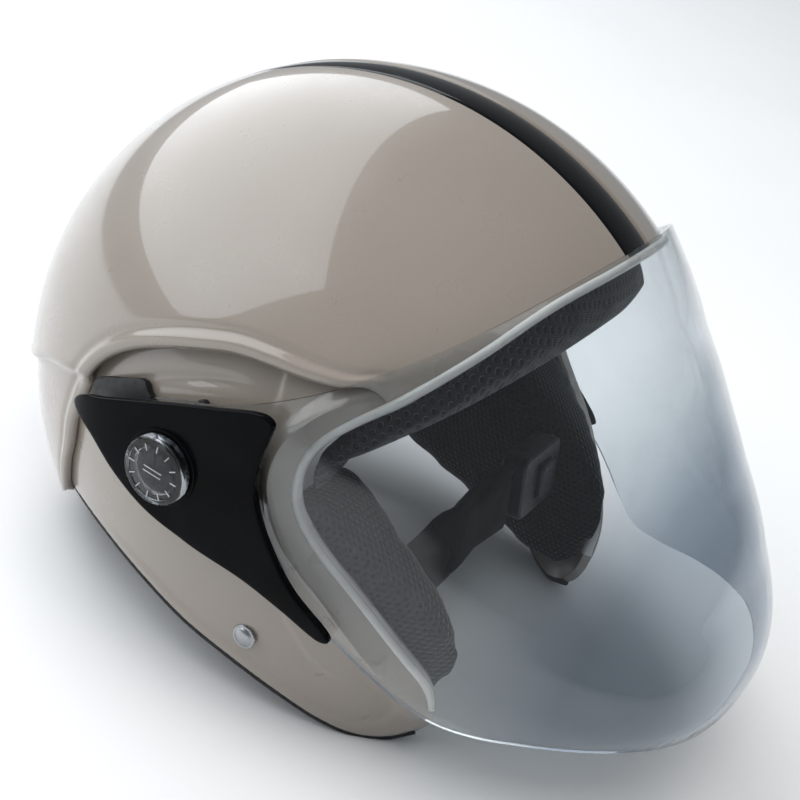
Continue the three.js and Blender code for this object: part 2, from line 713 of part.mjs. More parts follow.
const helmet = new THREE.Group();
helmet.name = 'helmet';
helmet.add(part('outer_shell', outerShell(), PAINT()));
helmet.add(part('centre_strip', centreStrip(), BLACK_GLOSS()));
helmet.add(part('face_opening_trim', faceTrim(), SATIN()));
helmet.add(part('neck_edge_trim', aboveTable(solid(neckTrim())), RUBBER()));
helmet.add(part('eps_liner', foamShell(), FOAM()));
helmet.add(part('crown_lining', crownLining(), CLOTH()));
helmet.add(part('brow_pad', browPad(), CLOTH()));
helmet.add(part('neck_roll', neckRoll(), CLOTH()));

const shield = new THREE.Group();
shield.name = 'shield_group';
shield.add(part('visor', visor(), CLEAR()));
helmet.add(shield);

for (const [side, hand] of [[-1, 'right'], [1, 'left']]) {
  helmet.add(part(`cheek_pad_${hand}`, cheekPad(side), MESH_CLOTH()));
  helmet.add(part(`side_plate_${hand}`, sidePlate(side), BLACK_GLOSS()));
  helmet.add(part(`pivot_base_${hand}`, pivotBase(side), PLASTIC()));
  helmet.add(part(`pivot_bush_${hand}`, pivotBush(side), PLASTIC()));
  helmet.add(part(`pivot_screw_${hand}`, pivotScrew(side), STEEL()));
  helmet.add(part(`pivot_nut_${hand}`, pivotNut(side), STEEL()));
  helmet.add(part(`hub_cap_${hand}`, hubCap(side), CLEAR()));
  helmet.add(part(`strap_rivet_${hand}`, strapRivet(side), STEEL()));
  helmet.add(part(`rivet_washer_${hand}`, rivetWasher(side), STEEL()));
  helmet.add(part(`chin_strap_${hand}`, strapPiece(side, STRAP_WIDTH, STRAP_THICK), WEBBING()));
}

const buckle = new THREE.Group();
buckle.name = 'buckle';
buckle.add(part('buckle_housing', buckleHousing(), PLASTIC()));
buckle.add(part('buckle_tongue', buckleTongue(), STEEL()));
buckle.add(part('buckle_button', buckleButton(), PLASTIC()));
helmet.add(buckle);
helmet.add(part('strap_sleeve', strapSleeve(), CLOTH()));

helmet.rotation.x = -LEAN;
helmet.updateMatrixWorld(true);
const outline = new THREE.Box3().setFromObject(helmet, true);
helmet.position.set(0, -(outline.min.y + outline.max.y) / 2, -outline.min.z);

export default helmet;
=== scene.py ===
import sys
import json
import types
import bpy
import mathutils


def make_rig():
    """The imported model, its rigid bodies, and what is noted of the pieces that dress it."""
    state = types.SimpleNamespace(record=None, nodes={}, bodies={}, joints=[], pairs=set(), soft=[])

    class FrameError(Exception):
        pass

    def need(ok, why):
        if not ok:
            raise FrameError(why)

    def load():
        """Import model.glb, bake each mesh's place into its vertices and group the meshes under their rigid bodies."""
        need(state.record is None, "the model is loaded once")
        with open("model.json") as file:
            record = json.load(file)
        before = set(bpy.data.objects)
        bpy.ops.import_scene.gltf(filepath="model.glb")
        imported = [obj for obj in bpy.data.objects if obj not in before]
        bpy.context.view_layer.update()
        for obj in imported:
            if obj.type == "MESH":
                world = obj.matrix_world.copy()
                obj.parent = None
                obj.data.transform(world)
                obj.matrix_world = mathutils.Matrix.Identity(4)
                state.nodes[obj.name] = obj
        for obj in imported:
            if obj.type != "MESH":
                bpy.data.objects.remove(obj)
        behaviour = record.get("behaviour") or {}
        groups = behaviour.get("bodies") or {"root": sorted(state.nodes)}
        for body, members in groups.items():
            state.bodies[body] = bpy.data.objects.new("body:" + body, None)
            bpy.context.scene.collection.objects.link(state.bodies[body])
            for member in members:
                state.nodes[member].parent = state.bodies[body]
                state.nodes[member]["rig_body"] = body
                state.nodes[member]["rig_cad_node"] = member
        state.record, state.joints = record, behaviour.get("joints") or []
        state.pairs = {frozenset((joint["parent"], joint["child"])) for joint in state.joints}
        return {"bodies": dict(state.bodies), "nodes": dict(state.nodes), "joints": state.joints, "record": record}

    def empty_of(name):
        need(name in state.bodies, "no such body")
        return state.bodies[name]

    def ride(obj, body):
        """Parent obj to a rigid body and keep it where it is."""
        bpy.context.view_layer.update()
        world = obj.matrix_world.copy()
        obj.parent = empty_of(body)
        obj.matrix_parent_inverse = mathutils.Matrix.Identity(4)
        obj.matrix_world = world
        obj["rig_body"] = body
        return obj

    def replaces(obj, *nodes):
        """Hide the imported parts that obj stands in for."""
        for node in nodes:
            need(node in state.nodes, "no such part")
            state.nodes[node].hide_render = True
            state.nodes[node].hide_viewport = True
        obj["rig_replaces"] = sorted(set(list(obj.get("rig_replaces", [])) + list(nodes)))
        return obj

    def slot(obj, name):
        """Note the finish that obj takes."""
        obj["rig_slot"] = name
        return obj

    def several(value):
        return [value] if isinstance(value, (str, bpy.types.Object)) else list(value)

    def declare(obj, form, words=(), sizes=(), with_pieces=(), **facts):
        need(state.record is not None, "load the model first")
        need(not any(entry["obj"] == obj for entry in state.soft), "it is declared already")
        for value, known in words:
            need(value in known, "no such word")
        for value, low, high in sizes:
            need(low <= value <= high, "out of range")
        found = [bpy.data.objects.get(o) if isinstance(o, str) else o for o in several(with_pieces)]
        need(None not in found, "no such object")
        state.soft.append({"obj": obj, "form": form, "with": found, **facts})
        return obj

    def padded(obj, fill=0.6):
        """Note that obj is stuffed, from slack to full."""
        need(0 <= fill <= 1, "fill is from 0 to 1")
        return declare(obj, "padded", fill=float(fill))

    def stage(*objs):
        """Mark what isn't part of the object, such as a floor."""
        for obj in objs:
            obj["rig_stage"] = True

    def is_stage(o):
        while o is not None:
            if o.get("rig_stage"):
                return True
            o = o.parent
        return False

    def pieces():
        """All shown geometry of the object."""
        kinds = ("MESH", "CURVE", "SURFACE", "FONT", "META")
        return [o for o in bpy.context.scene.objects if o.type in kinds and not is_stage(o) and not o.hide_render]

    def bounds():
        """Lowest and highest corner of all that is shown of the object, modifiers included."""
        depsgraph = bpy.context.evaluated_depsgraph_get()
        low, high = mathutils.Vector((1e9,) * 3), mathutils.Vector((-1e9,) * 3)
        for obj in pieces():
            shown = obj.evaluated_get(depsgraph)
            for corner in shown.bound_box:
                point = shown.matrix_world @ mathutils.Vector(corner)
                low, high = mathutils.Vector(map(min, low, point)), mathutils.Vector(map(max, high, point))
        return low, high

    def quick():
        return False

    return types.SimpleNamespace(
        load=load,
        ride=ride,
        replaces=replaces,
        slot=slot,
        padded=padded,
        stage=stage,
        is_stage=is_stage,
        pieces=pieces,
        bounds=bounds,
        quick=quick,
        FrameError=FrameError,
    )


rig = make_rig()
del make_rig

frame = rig.load()

import json
import math

import bmesh
import bpy
import numpy as np
from mathutils import Matrix, Vector
from mathutils.geometry import delaunay_2d_cdt

bl_info = {
    "name": "Open face helmet finish",
    "version": (1, 0, 0),
    "blender": (4, 5, 0),
    "location": "3D View > Sidebar > Helmet",
    "description": "Finishes the packed open face helmet with its visible surfaces, pads and materials",
    "category": "Object",
}

HELMET = "helmet_body"
SHIELD = "visor_body"

# ------------------------------------------------------------------ sizes, mm
# All outlines are drawn with the dome's middle at 0, face to -Y, and are then
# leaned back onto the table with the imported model.
HALF_WIDTH = 115.0
HALF_LENGTH = 140.3
HALF_HEIGHT = 130.6
LOW_SIDE = 200.0
LOW_FRONT = 140.0
LOW_BACK = 116.0
WALL = 4.5
RECESS = 6.0
REAR_STEP = 2.4
CHANNEL_HALF = 9.5
CHANNEL_DEEP = 2.6
STRIP_HALF = 9.1
STRIP_LOW = 0.7
HANDS = ((-1, "right"), (1, "left"))
HUB = (7.5, 11.0)
RIVET = (-19.5, -54.0)
VISOR_HALF = 115.2
VISOR_THICK = 2.2
PLATE_HALF = 119.2
PLATE_THICK = 3.2
BASE_PROUD = 3.2
BASE_THICK = 2.9
RIM_ANGLE = 1.0
UNDER_CHEEK = (-63.0, -95.2)
UNDER_NAPE = (111.0, -59.2)

BROW_END = (-145.0, 114.0)
FACE_EDGE = [
    (-106.9, 84.4), (-97.5, 77.1), (-84, 62.6), (-66, 46.4), (-52, 36), (-45.8, 30.6),
    (-41, 24), (-38.7, 16), (-39.4, 7), (-43.3, -1.3), (-50, -10.5), (-57.6, -19.6),
    (-65, -29.8), (-71.6, -40.6), (-77.3, -51), (-81.4, -60), (-82.8, -68), (-82, -76.5),
]
LOWER_EDGE = [
    (-79, -85.5), (-73, -91.6), (-64, -95), (-54, -93.4), (-43.5, -87.4), (-30, -78),
    (-12.1, -67.6), (7.8, -58.4), (26.2, -49.2), (44, -41.8), (58, -37.4), (70, -35.4),
    (80, -36.6), (91, -43.5), (100, -51.5), (106, -57), (111, -59.4), (116, -58.4),
]
FRONT_CORNER = (-65.4, 45.9)
REAR_CORNER = (79.5, -36.5)
DOME_RIM = [
    FRONT_CORNER, (-61.5, 50.2), (-56, 52.4), (-47.4, 51.2), (-33.8, 52.1), (-22.9, 53.6),
    (-9.6, 54.3), (3.9, 52.4), (18.3, 49), (33.9, 43.5), (46.5, 36), (55, 27.5), (60, 19),
    (63.5, 11), (67, 2), (69.6, -9), (74, -20), REAR_CORNER,
]
REAR_CREASE = [(56, 24.5), (70, 21.4), (84, 18.5), (98, 12), (112, 6), (140, 2)]
EDGE_RIDGE = [
    (-60, 50.5), (-53, 46.5), (-44, 41), (-37.5, 35), (-32.5, 28.5), (-30, 21.5), (-29.2, 14.5),
    (-30, 8), (-32.5, -1.5), (-37, -10), (-42.5, -17), (-49, -24.5), (-55.5, -34), (-61.5, -43.5),
    (-66.5, -52), (-70.5, -60), (-74, -68), (-76.5, -76),
]
CHEEK_CONTOUR = [
    (-63, -49), (-67.5, -57), (-70.8, -65), (-71.8, -71), (-69, -79.5), (-63, -85), (-55, -85.5),
    (-45, -80.5), (-30, -71), (-12, -60.5), (8, -51.5), (26, -42.5), (44, -35), (58, -30.5),
]
BASE_OUTLINE = [
    (50, 13), (53.5, 19.5), (53.2, 22), (51.4, 24.3), (48, 26.6), (37.6, 30), (27.6, 33), (25.4, 32.5),
    (23.6, 30), (20, 28), (4, 28.4), (3.1, 30.8), (2.4, 33), (0.8, 34.3), (-0.8, 34.4), (-1.9, 33.2),
    (-2.4, 29.6), (-14, 28.6), (-20, 18), (-16, -2), (4, -12), (28, -8), (42, 3),
]
PLATE_OUTLINE = [
    (52, 19.5), (49, 23.2), (34, 27.8), (11, 33.6), (-11, 38.4), (-31, 41.6), (-34.6, 39.4),
    (-33.2, 33), (-30.6, 24), (-29.8, 14), (-32.5, 4), (-38, -7.5), (-46, -19.5),
    (-58, -31.5), (-59.6, -35), (-56.4, -36), (-42, -28.5), (-26.4, -21.5), (-3, -15),
    (16, -7.5), (29, 1.5), (40, 11.5),
]
VISOR_OUTLINE = [
    (-145, 116), (-108.5, 91.5), (-97, 82.6), (-84, 72.6), (-66, 61), (-47, 50.5), (-28, 42.5),
    (-8, 36.5), (8, 34), (22, 29.5), (30, 19), (30.5, 7), (24, -5), (12, -11.5), (-4, -15.5),
    (-20, -20.5), (-34, -26), (-50, -31.5), (-60, -38), (-73, -50), (-81, -58), (-88, -63.6),
    (-95, -66.6), (-106, -67.4), (-124, -66.5), (-145, -66.5), (-160, -68.5), (-172, -72),
    (-200, -74),
]
VISOR_REACH = [
    (-180, 150), (-90, 150), (-60, 152), (-42, 166), (-33, 185), (-24, 196), (-13, 176.5),
    (-3, 157.5), (8, 145), (18, 139.5), (36, 139), (60, 139), (120, 140), (180, 150),
]
PLATE_REACH = [
    (-180, 68), (-120, 72), (-90, 110), (-60, 160), (-42, 174), (-33, 191), (-20, 199),
    (60, 199), (85, 130), (115, 76), (180, 68),
]

# ------------------------------------------------------ from drawing to table
LEAN = math.atan2(UNDER_NAPE[1] - UNDER_CHEEK[1], UNDER_NAPE[0] - UNDER_CHEEK[0])
PIVOT = next(j for j in frame["joints"] if j["name"] == "visor_swing")["pos_m"]
COS_LEAN = math.cos(LEAN)
SIN_LEAN = math.sin(LEAN)


def on_table(points):
    """Drawing points in mm, as rows of (x, y, z), to metres in the row frame."""
    p = np.asarray(points, float).reshape(-1, 3)
    y = p[:, 1] - HUB[0]
    z = p[:, 2] - HUB[1]
    return np.column_stack([
        p[:, 0] / 1000,
        PIVOT[1] + (y * COS_LEAN + z * SIN_LEAN) / 1000,
        PIVOT[2] + (-y * SIN_LEAN + z * COS_LEAN) / 1000,
    ])


def direction_on_table(v):
    x, y, z = v
    return Vector((x, y * COS_LEAN + z * SIN_LEAN, -y * SIN_LEAN + z * COS_LEAN))


def off_table(points):
    """Metres in the row frame back to drawing points in mm."""
    p = np.asarray(points, float).reshape(-1, 3) * 1000
    y = p[:, 1] - PIVOT[1] * 1000
    z = p[:, 2] - PIVOT[2] * 1000
    return np.column_stack([
        p[:, 0], HUB[0] + y * COS_LEAN - z * SIN_LEAN, HUB[1] + y * SIN_LEAN + z * COS_LEAN])


# ------------------------------------------------------------- dome surfaces
def smooth(t):
    t = np.clip(t, 0.0, 1.0)
    return t * t * (3 - 2 * t)


def bump(t, width):
    return np.exp(-(np.asarray(t) / width) ** 2)


def depth_below(theta):
    """How far the dome would reach down, by the angle round from the face."""
    front = np.cos(theta) > 0
    side = np.abs(np.sin(theta)) ** np.where(front, 2, 6)
    return LOW_SIDE * side + np.where(front, LOW_FRONT, LOW_BACK) * (1 - side)


def side_inset(y, z):
    """Depth of the side recess under the dome."""
    brow = smooth((-y - 50) / 30) * smooth((z - 10) / 30)
    rear = smooth((y - 76) / 22)
    return RECESS * (1 - brow) * (1 - rear) + 0.8 * brow + REAR_STEP * rear


def skin_half(y, z, inset):
    """Half width of the dome at a place in the side view, inset by so many mm."""
    y, z, inset = np.broadcast_arrays(*(np.asarray(a, float) for a in (y, z, inset)))
    b = HALF_LENGTH - inset
    theta = np.full(y.shape, math.pi / 2)
    x = np.zeros(y.shape)
    for _ in range(8):
        c = np.where(z >= 0, HALF_HEIGHT, depth_below(theta)) - inset
        left = 1 - (y / b) ** 2 - (z / c) ** 2
        x = (HALF_WIDTH - inset) * np.sqrt(np.clip(left, 0, None))
        theta = np.arctan2(x / (HALF_WIDTH - inset), -y / b)
    return x


def dome_at(u, v, inset):
    """Dome point by the angle up from the face (u) and out to the side (v), in radians."""
    u, v, inset = np.broadcast_arrays(u, v, inset)
    x = np.sin(v)
    y = -np.cos(v) * np.cos(u)
    c = np.where(np.sin(u) >= 0, HALF_HEIGHT, depth_below(np.arctan2(np.abs(x), -y))) - inset
    return np.stack([
        (HALF_WIDTH - inset) * x,
        (HALF_LENGTH - inset) * y,
        c * np.cos(v) * np.sin(u),
    ], axis=-1)


def dome_angles(y, z):
    """(u, v) of the dome skin over a place in the side view."""
    y = np.asarray(y, float)
    z = np.asarray(z, float)
    x = skin_half(y, z, 0)
    theta = np.arctan2(x / HALF_WIDTH, -y / HALF_LENGTH)
    c = np.where(z >= 0, HALF_HEIGHT, depth_below(theta))
    return np.mod(np.arctan2(z / c, -y / HALF_LENGTH), 2 * math.pi), np.arcsin(x / HALF_WIDTH)


def flow(points, step, closed=False):
    """A smooth line through the points, at about one point per step mm."""
    p = np.asarray(points, float)
    n = len(p)
    out = []
    for i in range(n if closed else n - 1):
        a, b = p[i], p[(i + 1) % n]
        before = p[(i - 1) % n] if closed or i else 2 * a - b
        after = p[(i + 2) % n] if closed or i + 2 < n else 2 * b - a
        da, db, dc = (max(1e-6, np.linalg.norm(d)) ** 0.5 for d in (a - before, b - a, after - b))
        ta = db * ((a - before) / da - (b - before) / (da + db) + (b - a) / db)
        tb = db * ((b - a) / db - (after - a) / (db + dc) + (after - b) / dc)
        count = max(1, round(np.linalg.norm(b - a) / step))
        t = (np.arange(count) / count)[:, None]
        out.append(a * (1 + 2 * t) * (1 - t) ** 2 + ta * t * (1 - t) ** 2
                   + b * t * t * (3 - 2 * t) - tb * t * t * (1 - t))
    line = np.vstack(out)
    return line if closed else np.vstack([line, p[-1]])


def side_of(line, y, z):
    """Signed distance from a line in the side view, positive on its left, and how far along."""
    p = np.column_stack([np.ravel(y), np.ravel(z)])
    a = line[:-1]
    d = line[1:] - a
    long = np.linalg.norm(d, axis=1)
    d = d / long[:, None]
    start = np.concatenate([[0], np.cumsum(long)])[:-1]
    best = np.full(len(p), 1e9)
    sign = np.ones(len(p))
    run = np.zeros(len(p))
    for i in range(len(a)):
        rel = p - a[i]
        t = np.clip(rel @ d[i], 0, long[i])
        gap = np.linalg.norm(rel - t[:, None] * d[i], axis=1)
        near = gap < best - 1e-9
        best = np.where(near, gap, best)
        sign = np.where(near, np.sign(d[i][0] * rel[:, 1] - d[i][1] * rel[:, 0]), sign)
        run = np.where(near, start[i] + t, run)
    shape = np.shape(y)
    return (best * sign).reshape(shape), run.reshape(shape), start[-1] + long[-1]


def inside(outline, p):
    """Which points lie inside a closed outline."""
    a = np.asarray(outline)
    b = np.roll(a, -1, axis=0)
    hit = np.zeros(len(p), bool)
    for (ay, az), (by, bz) in zip(a, b):
        if az == bz:
            continue
        crosses = (az > p[:, 1]) != (bz > p[:, 1])
        hit ^= crosses & (p[:, 0] < (by - ay) * (p[:, 1] - az) / (bz - az) + ay)
    return hit


def along(table, x):
    """Smooth curve through a table of (x, y), with no overshoot between its rows."""
    t = np.asarray(table, float)
    x = np.asarray(x, float)
    h = np.diff(t[:, 0])
    rise = np.diff(t[:, 1]) / h
    slope = np.zeros(len(t))
    both = rise[:-1] * rise[1:]
    safe = np.where(both > 0, rise[:-1] + rise[1:], 1)
    slope[1:-1] = np.where(both > 0, 2 * both / safe, 0)
    i = np.clip(np.searchsorted(t[:, 0], x) - 1, 0, len(h) - 1)
    k = (x - t[i, 0]) / h[i]
    j = 1 - k
    return (t[i, 1] * j * j * (1 + 2 * k) + t[i + 1, 1] * k * k * (1 + 2 * j)
            + h[i] * k * j * (slope[i] * j - slope[i + 1] * k))


# -------------------------------------------------------------- mesh making
def finish_mesh(name, bm, body, slot, material, sharp=35.0, replaces=()):
    """Makes the object, welds its seams, marks crisp edges and puts it on its body."""
    bmesh.ops.remove_doubles(bm, verts=bm.verts, dist=1e-6)
    bmesh.ops.recalc_face_normals(bm, faces=bm.faces)
    limit = math.radians(sharp)
    for face in bm.faces:
        face.smooth = True
    for edge in bm.edges:
        edge.smooth = len(edge.link_faces) == 2 and edge.calc_face_angle(0) < limit
    mesh = bpy.data.meshes.new(name)
    bm.to_mesh(mesh)
    bm.free()
    obj = bpy.data.objects.new(name, mesh)
    bpy.context.scene.collection.objects.link(obj)
    mesh.materials.append(material)
    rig.ride(obj, body)
    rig.slot(obj, slot)
    if replaces:
        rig.replaces(obj, *replaces)
    return obj


def add_rows(bm, rows, closed=False):
    """Faces over a grid of drawing points; closed joins each row's end to its start."""
    rows = np.asarray(rows, float)
    count, across = rows.shape[:2]
    world = on_table(rows.reshape(-1, 3)).reshape(count, across, 3)
    verts = [[bm.verts.new(p) for p in row] for row in world]
    last = across if closed else across - 1
    faces = []
    for i in range(count - 1):
        for k in range(last):
            m = (k + 1) % across
            faces.append(bm.faces.new((verts[i][k], verts[i][m], verts[i + 1][m], verts[i + 1][k])))
    return verts, faces


def thicken(bm, mm):
    """Gives a sheet its thickness on the inner side."""
    bmesh.ops.recalc_face_normals(bm, faces=bm.faces)
    bm.normal_update()
    core = Vector(on_table([(0, 0, 0)])[0])
    out = sum((f.normal.dot(f.calc_center_median() - core) for f in bm.faces))
    if out < 0:
        bmesh.ops.reverse_faces(bm, faces=bm.faces)
        bm.normal_update()
    bmesh.ops.solidify(bm, geom=list(bm.faces), thickness=mm / 1000)


def open_at_pivot(bm, radius):
    """Clears a sheet's faces within so many metres of the pivot line."""
    centre = Vector(PIVOT)
    near = [f for f in bm.faces if (f.calc_center_median() - centre).yz.length < radius]
    bmesh.ops.delete(bm, geom=near, context="FACES")


def ease_rim(bm, width, segments):
    """Rounds the square edges of a thickened sheet."""
    bm.normal_update()
    rim = [e for e in bm.edges if len(e.link_faces) == 2 and e.calc_face_angle(0) > RIM_ANGLE]
    bmesh.ops.bevel(bm, geom=rim, offset=width, offset_type="OFFSET", segments=segments, profile=0.5,
                    affect="EDGES", material=-1)


def filled(outline, step, extra=()):
    """Even triangles inside an outline in a flat drawing, with lines that they keep to."""
    outline = np.asarray(outline, float)
    low = outline.min(0)
    high = outline.max(0)
    rise = step * math.sqrt(3) / 2
    across = np.arange(low[0], high[0], step)
    grid = [(y + (step / 2 if k % 2 else 0), z)
            for k, z in enumerate(np.arange(low[1], high[1], rise)) for y in across]
    grid = np.array(grid)
    grid = grid[inside(outline, grid)]
    lines = [np.vstack([outline, outline[:1]]), *extra]
    for line in lines:
        gap, _, _ = side_of(np.asarray(line), grid[:, 0], grid[:, 1])
        grid = grid[np.abs(gap) > step * 0.55]
    points = [Vector(p) for p in outline]
    edges = [(i, (i + 1) % len(outline)) for i in range(len(outline))]
    for line in extra:
        first = len(points)
        points += [Vector(p) for p in line]
        edges += [(first + i, first + i + 1) for i in range(len(line) - 1)]
    points += [Vector(p) for p in grid]
    verts, _, faces, *_ = delaunay_2d_cdt(points, edges, [], 1, 1e-5)
    return np.array([tuple(v) for v in verts]), faces


def add_sheet(bm, flat, faces, shape):
    """Puts a flat drawing's triangles on a curved surface."""
    world = on_table(shape(flat))
    verts = [bm.verts.new(p) for p in world]
    return [bm.faces.new([verts[i] for i in f]) for f in faces]


def mirrored_sheet(bm):
    """Adds the other hand, across X = 0."""
    copy = bmesh.ops.duplicate(bm, geom=list(bm.verts) + list(bm.edges) + list(bm.faces))["geom"]
    new = [g for g in copy if isinstance(g, bmesh.types.BMVert)]
    for v in new:
        v.co.x = -v.co.x
    bmesh.ops.reverse_faces(bm, faces=[g for g in copy if isinstance(g, bmesh.types.BMFace)])


def sweep(bm, path, section, facing):
    """Sweeps a closed section along a path. facing gives each point's outward direction."""
    path = np.asarray(path, float)
    tangent = np.gradient(path, axis=0)
    tangent /= np.linalg.norm(tangent, axis=1)[:, None]
    out = facing - (facing * tangent).sum(1)[:, None] * tangent
    out /= np.linalg.norm(out, axis=1)[:, None]
    across = np.cross(tangent, out)
    s = np.asarray(section, float)
    rows = (path[:, None, :] + s[None, :, 0, None] * across[:, None, :]
            + s[None, :, 1, None] * out[:, None, :])
    verts, _ = add_rows(bm, rows, closed=True)
    for row in (verts[0], verts[-1]):
        bm.faces.new(row)


def dome_outward(path):
    p = np.asarray(path, float)
    c = np.where(p[:, 2] >= 0, HALF_HEIGHT, LOW_SIDE)
    n = np.column_stack([
        p[:, 0] / HALF_WIDTH ** 2, p[:, 1] / HALF_LENGTH ** 2, p[:, 2] / c ** 2])
    return n / np.linalg.norm(n, axis=1)[:, None]


def rounded(half_across, half_out, lift, power=2.6, count=20):
    """A closed section with full, rounded corners."""
    a = np.arange(count) * 2 * math.pi / count
    c = np.sign(np.cos(a)) * np.abs(np.cos(a)) ** (2 / power)
    s = np.sign(np.sin(a)) * np.abs(np.sin(a)) ** (2 / power)
    return np.column_stack([half_across * c, half_out * s + lift])


def add_turned(bm, profile, start, place, steps=64):
    """Spins a profile of (radius, distance out) round a line along X, from start mm out."""
    side = 1 if start > 0 else -1
    made = [bm.verts.new((start / 1000 + side * out / 1000, 0, r / 1000)) for r, out in profile]
    edges = [bm.edges.new(pair) for pair in zip(made, made[1:])]
    bmesh.ops.spin(bm, geom=made + edges, cent=(0, 0, 0), axis=(1, 0, 0), dvec=(0, 0, 0),
                   angle=2 * math.pi, steps=steps, use_merge=True)
    centre = Vector(on_table([(0, *place)])[0])
    bmesh.ops.translate(bm, verts=bm.verts, vec=centre)
    bmesh.ops.remove_doubles(bm, verts=bm.verts, dist=1e-6)


# ---------------------------------------------------------------- materials
def hexed(code, alpha=1.0):
    """A screen colour such as "a39a90" as the shader's linear values."""
    out = []
    for i in (0, 2, 4):
        c = int(code[i:i + 2], 16) / 255
        out.append(c / 12.92 if c <= 0.04045 else ((c + 0.055) / 1.055) ** 2.4)
    return (*out, alpha)


class Recipe:
    """One material's node tree, with a Principled shader and its Object coordinates."""

    def __init__(self, name, **settings):
        self.material = bpy.data.materials.new(name)
        self.material.use_nodes = True
        self.tree = self.material.node_tree
        self.shader = self.tree.nodes["Principled BSDF"]
        self.set(self.shader, settings)
        self.place = self.node("ShaderNodeTexCoord").outputs["Object"]

    def set(self, node, settings):
        for key, value in settings.items():
            socket = node.inputs[key] if isinstance(key, int) else node.inputs[key.replace("_", " ")]
            if isinstance(value, bpy.types.NodeSocket):
                self.tree.links.new(value, socket)
            else:
                socket.default_value = value

    def node(self, kind, inputs=None, **props):
        """Adds a node, sets its properties, then its sockets from values or other sockets."""
        made = self.tree.nodes.new(kind)
        for key, value in props.items():
            setattr(made, key, value)
        self.set(made, inputs or {})
        return made

    def math(self, operation, a, b=0.0, c=0.0):
        made = self.node("ShaderNodeMath", {0: a, 1: b, 2: c}, operation=operation)
        return made.outputs[0]

    def noise(self, scale, detail=2.0, vector=None, roughness=0.5):
        made = self.node("ShaderNodeTexNoise", {
            "Vector": vector or self.place, "Scale": scale, "Detail": detail, "Roughness": roughness})
        return made.outputs[0]

    def cells(self, scale, vector=None, feature="F1", randomness=1.0, out="Distance"):
        made = self.node("ShaderNodeTexVoronoi", {
            "Vector": vector or self.place, "Scale": scale, "Randomness": randomness},
            feature=feature)
        return made.outputs[out]

    def ramp(self, value, low, high, a, b):
        """Goes from a to b, numbers, as value goes from low to high."""
        made = self.node("ShaderNodeMapRange", {0: value, 1: low, 2: high, 3: a, 4: b})
        return made.outputs[0]

    def blend(self, factor, a, b):
        made = self.node("ShaderNodeMix", data_type="RGBA")
        self.tree.links.new(factor, made.inputs[0])
        made.inputs[6].default_value = a
        made.inputs[7].default_value = b
        return made.outputs[2]

    def colour(self, factor, a, b):
        self.tree.links.new(self.blend(factor, hexed(a), hexed(b)), self.shader.inputs["Base Color"])

    def rough(self, value):
        self.tree.links.new(value, self.shader.inputs["Roughness"])

    def relief(self, height, mm, strength=1.0):
        made = self.node("ShaderNodeBump", {
            "Height": height, "Strength": strength, "Distance": mm / 1000})
        self.tree.links.new(made.outputs[0], self.shader.inputs["Normal"])

    def uv(self):
        """The piece's own lay of cloth, in metres."""
        return self.node("ShaderNodeUVMap", uv_map="lay").outputs[0]

    def waves3(self, vector, pitch):
        """Sum of three cosines at 60 degrees: high at the points of an even hexagonal lattice."""
        total = None
        turn = 2 * math.pi / (pitch * math.cos(math.pi / 6))
        for k in range(3):
            a = k * math.pi / 3 + math.pi / 6
            dot = self.node("ShaderNodeVectorMath", {
                0: vector, 1: (turn * math.cos(a), turn * math.sin(a), 0)}, operation="DOT_PRODUCT")
            wave = self.math("COSINE", dot.outputs["Value"])
            total = wave if total is None else self.math("ADD", total, wave)
        return total


def shell_paint():
    """Gloss stone-grey paint under clear lacquer: fine flake, soft waviness, faint haze."""
    m = Recipe("shell_paint", Roughness=0.3, Coat_Weight=1.0, Coat_Roughness=0.045, Metallic=0.0)
    flake = m.cells(2600)
    cloud = m.noise(9, 3)
    mixed = m.math("ADD", m.math("MULTIPLY", flake, 0.35), m.math("MULTIPLY", cloud, 0.65))
    m.colour(m.ramp(mixed, 0.2, 0.75, 0, 1), "8a8077", "968c82")
    m.rough(m.ramp(m.noise(60, 4), 0.3, 0.7, 0.26, 0.36))
    m.relief(m.noise(140, 2), 0.02, 0.35)
    return m.material


def strip_gloss():
    """The gloss black of the centre strip, polished harder than the side covers."""
    m = Recipe("strip_gloss", Specular_IOR_Level=0.2)
    m.colour(m.ramp(m.noise(45, 5), 0.35, 0.7, 0, 1), "050506", "0c0d10")
    m.rough(m.ramp(m.noise(60, 4), 0.35, 0.7, 0.05, 0.14))
    m.relief(m.noise(180, 2), 0.01, 0.3)
    return m.material


def black_gloss():
    """Gloss black moulding with hairline scuffs and a little dust haze."""
    m = Recipe("black_gloss", Specular_IOR_Level=0.05)
    haze = m.noise(45, 5)
    m.colour(m.ramp(haze, 0.35, 0.7, 0, 1), "050506", "0b0c0f")
    scuff = m.node("ShaderNodeTexNoise", {"Scale": 900.0, "Detail": 2.0, "Distortion": 1.2})
    stretch = m.node("ShaderNodeMapping", {"Vector": m.place, "Scale": (1.0, 0.05, 1.0)})
    m.set(scuff, {"Vector": stretch.outputs[0]})
    m.rough(m.ramp(scuff.outputs[0], 0.45, 0.75, 0.09, 0.24))
    m.relief(m.noise(180, 2), 0.015, 0.3)
    return m.material


def silver_beading():
    """Satin silver beading, rubbed a little brighter in patches."""
    m = Recipe("silver_beading", Metallic=0.0, Coat_Weight=0.6, Coat_Roughness=0.1)
    worn = m.noise(70, 4)
    m.colour(m.ramp(worn, 0.35, 0.7, 0, 1), "cfccc8", "dedbd8")
    m.rough(m.ramp(worn, 0.3, 0.7, 0.24, 0.38))
    m.relief(m.noise(500, 2), 0.02, 0.4)
    return m.material


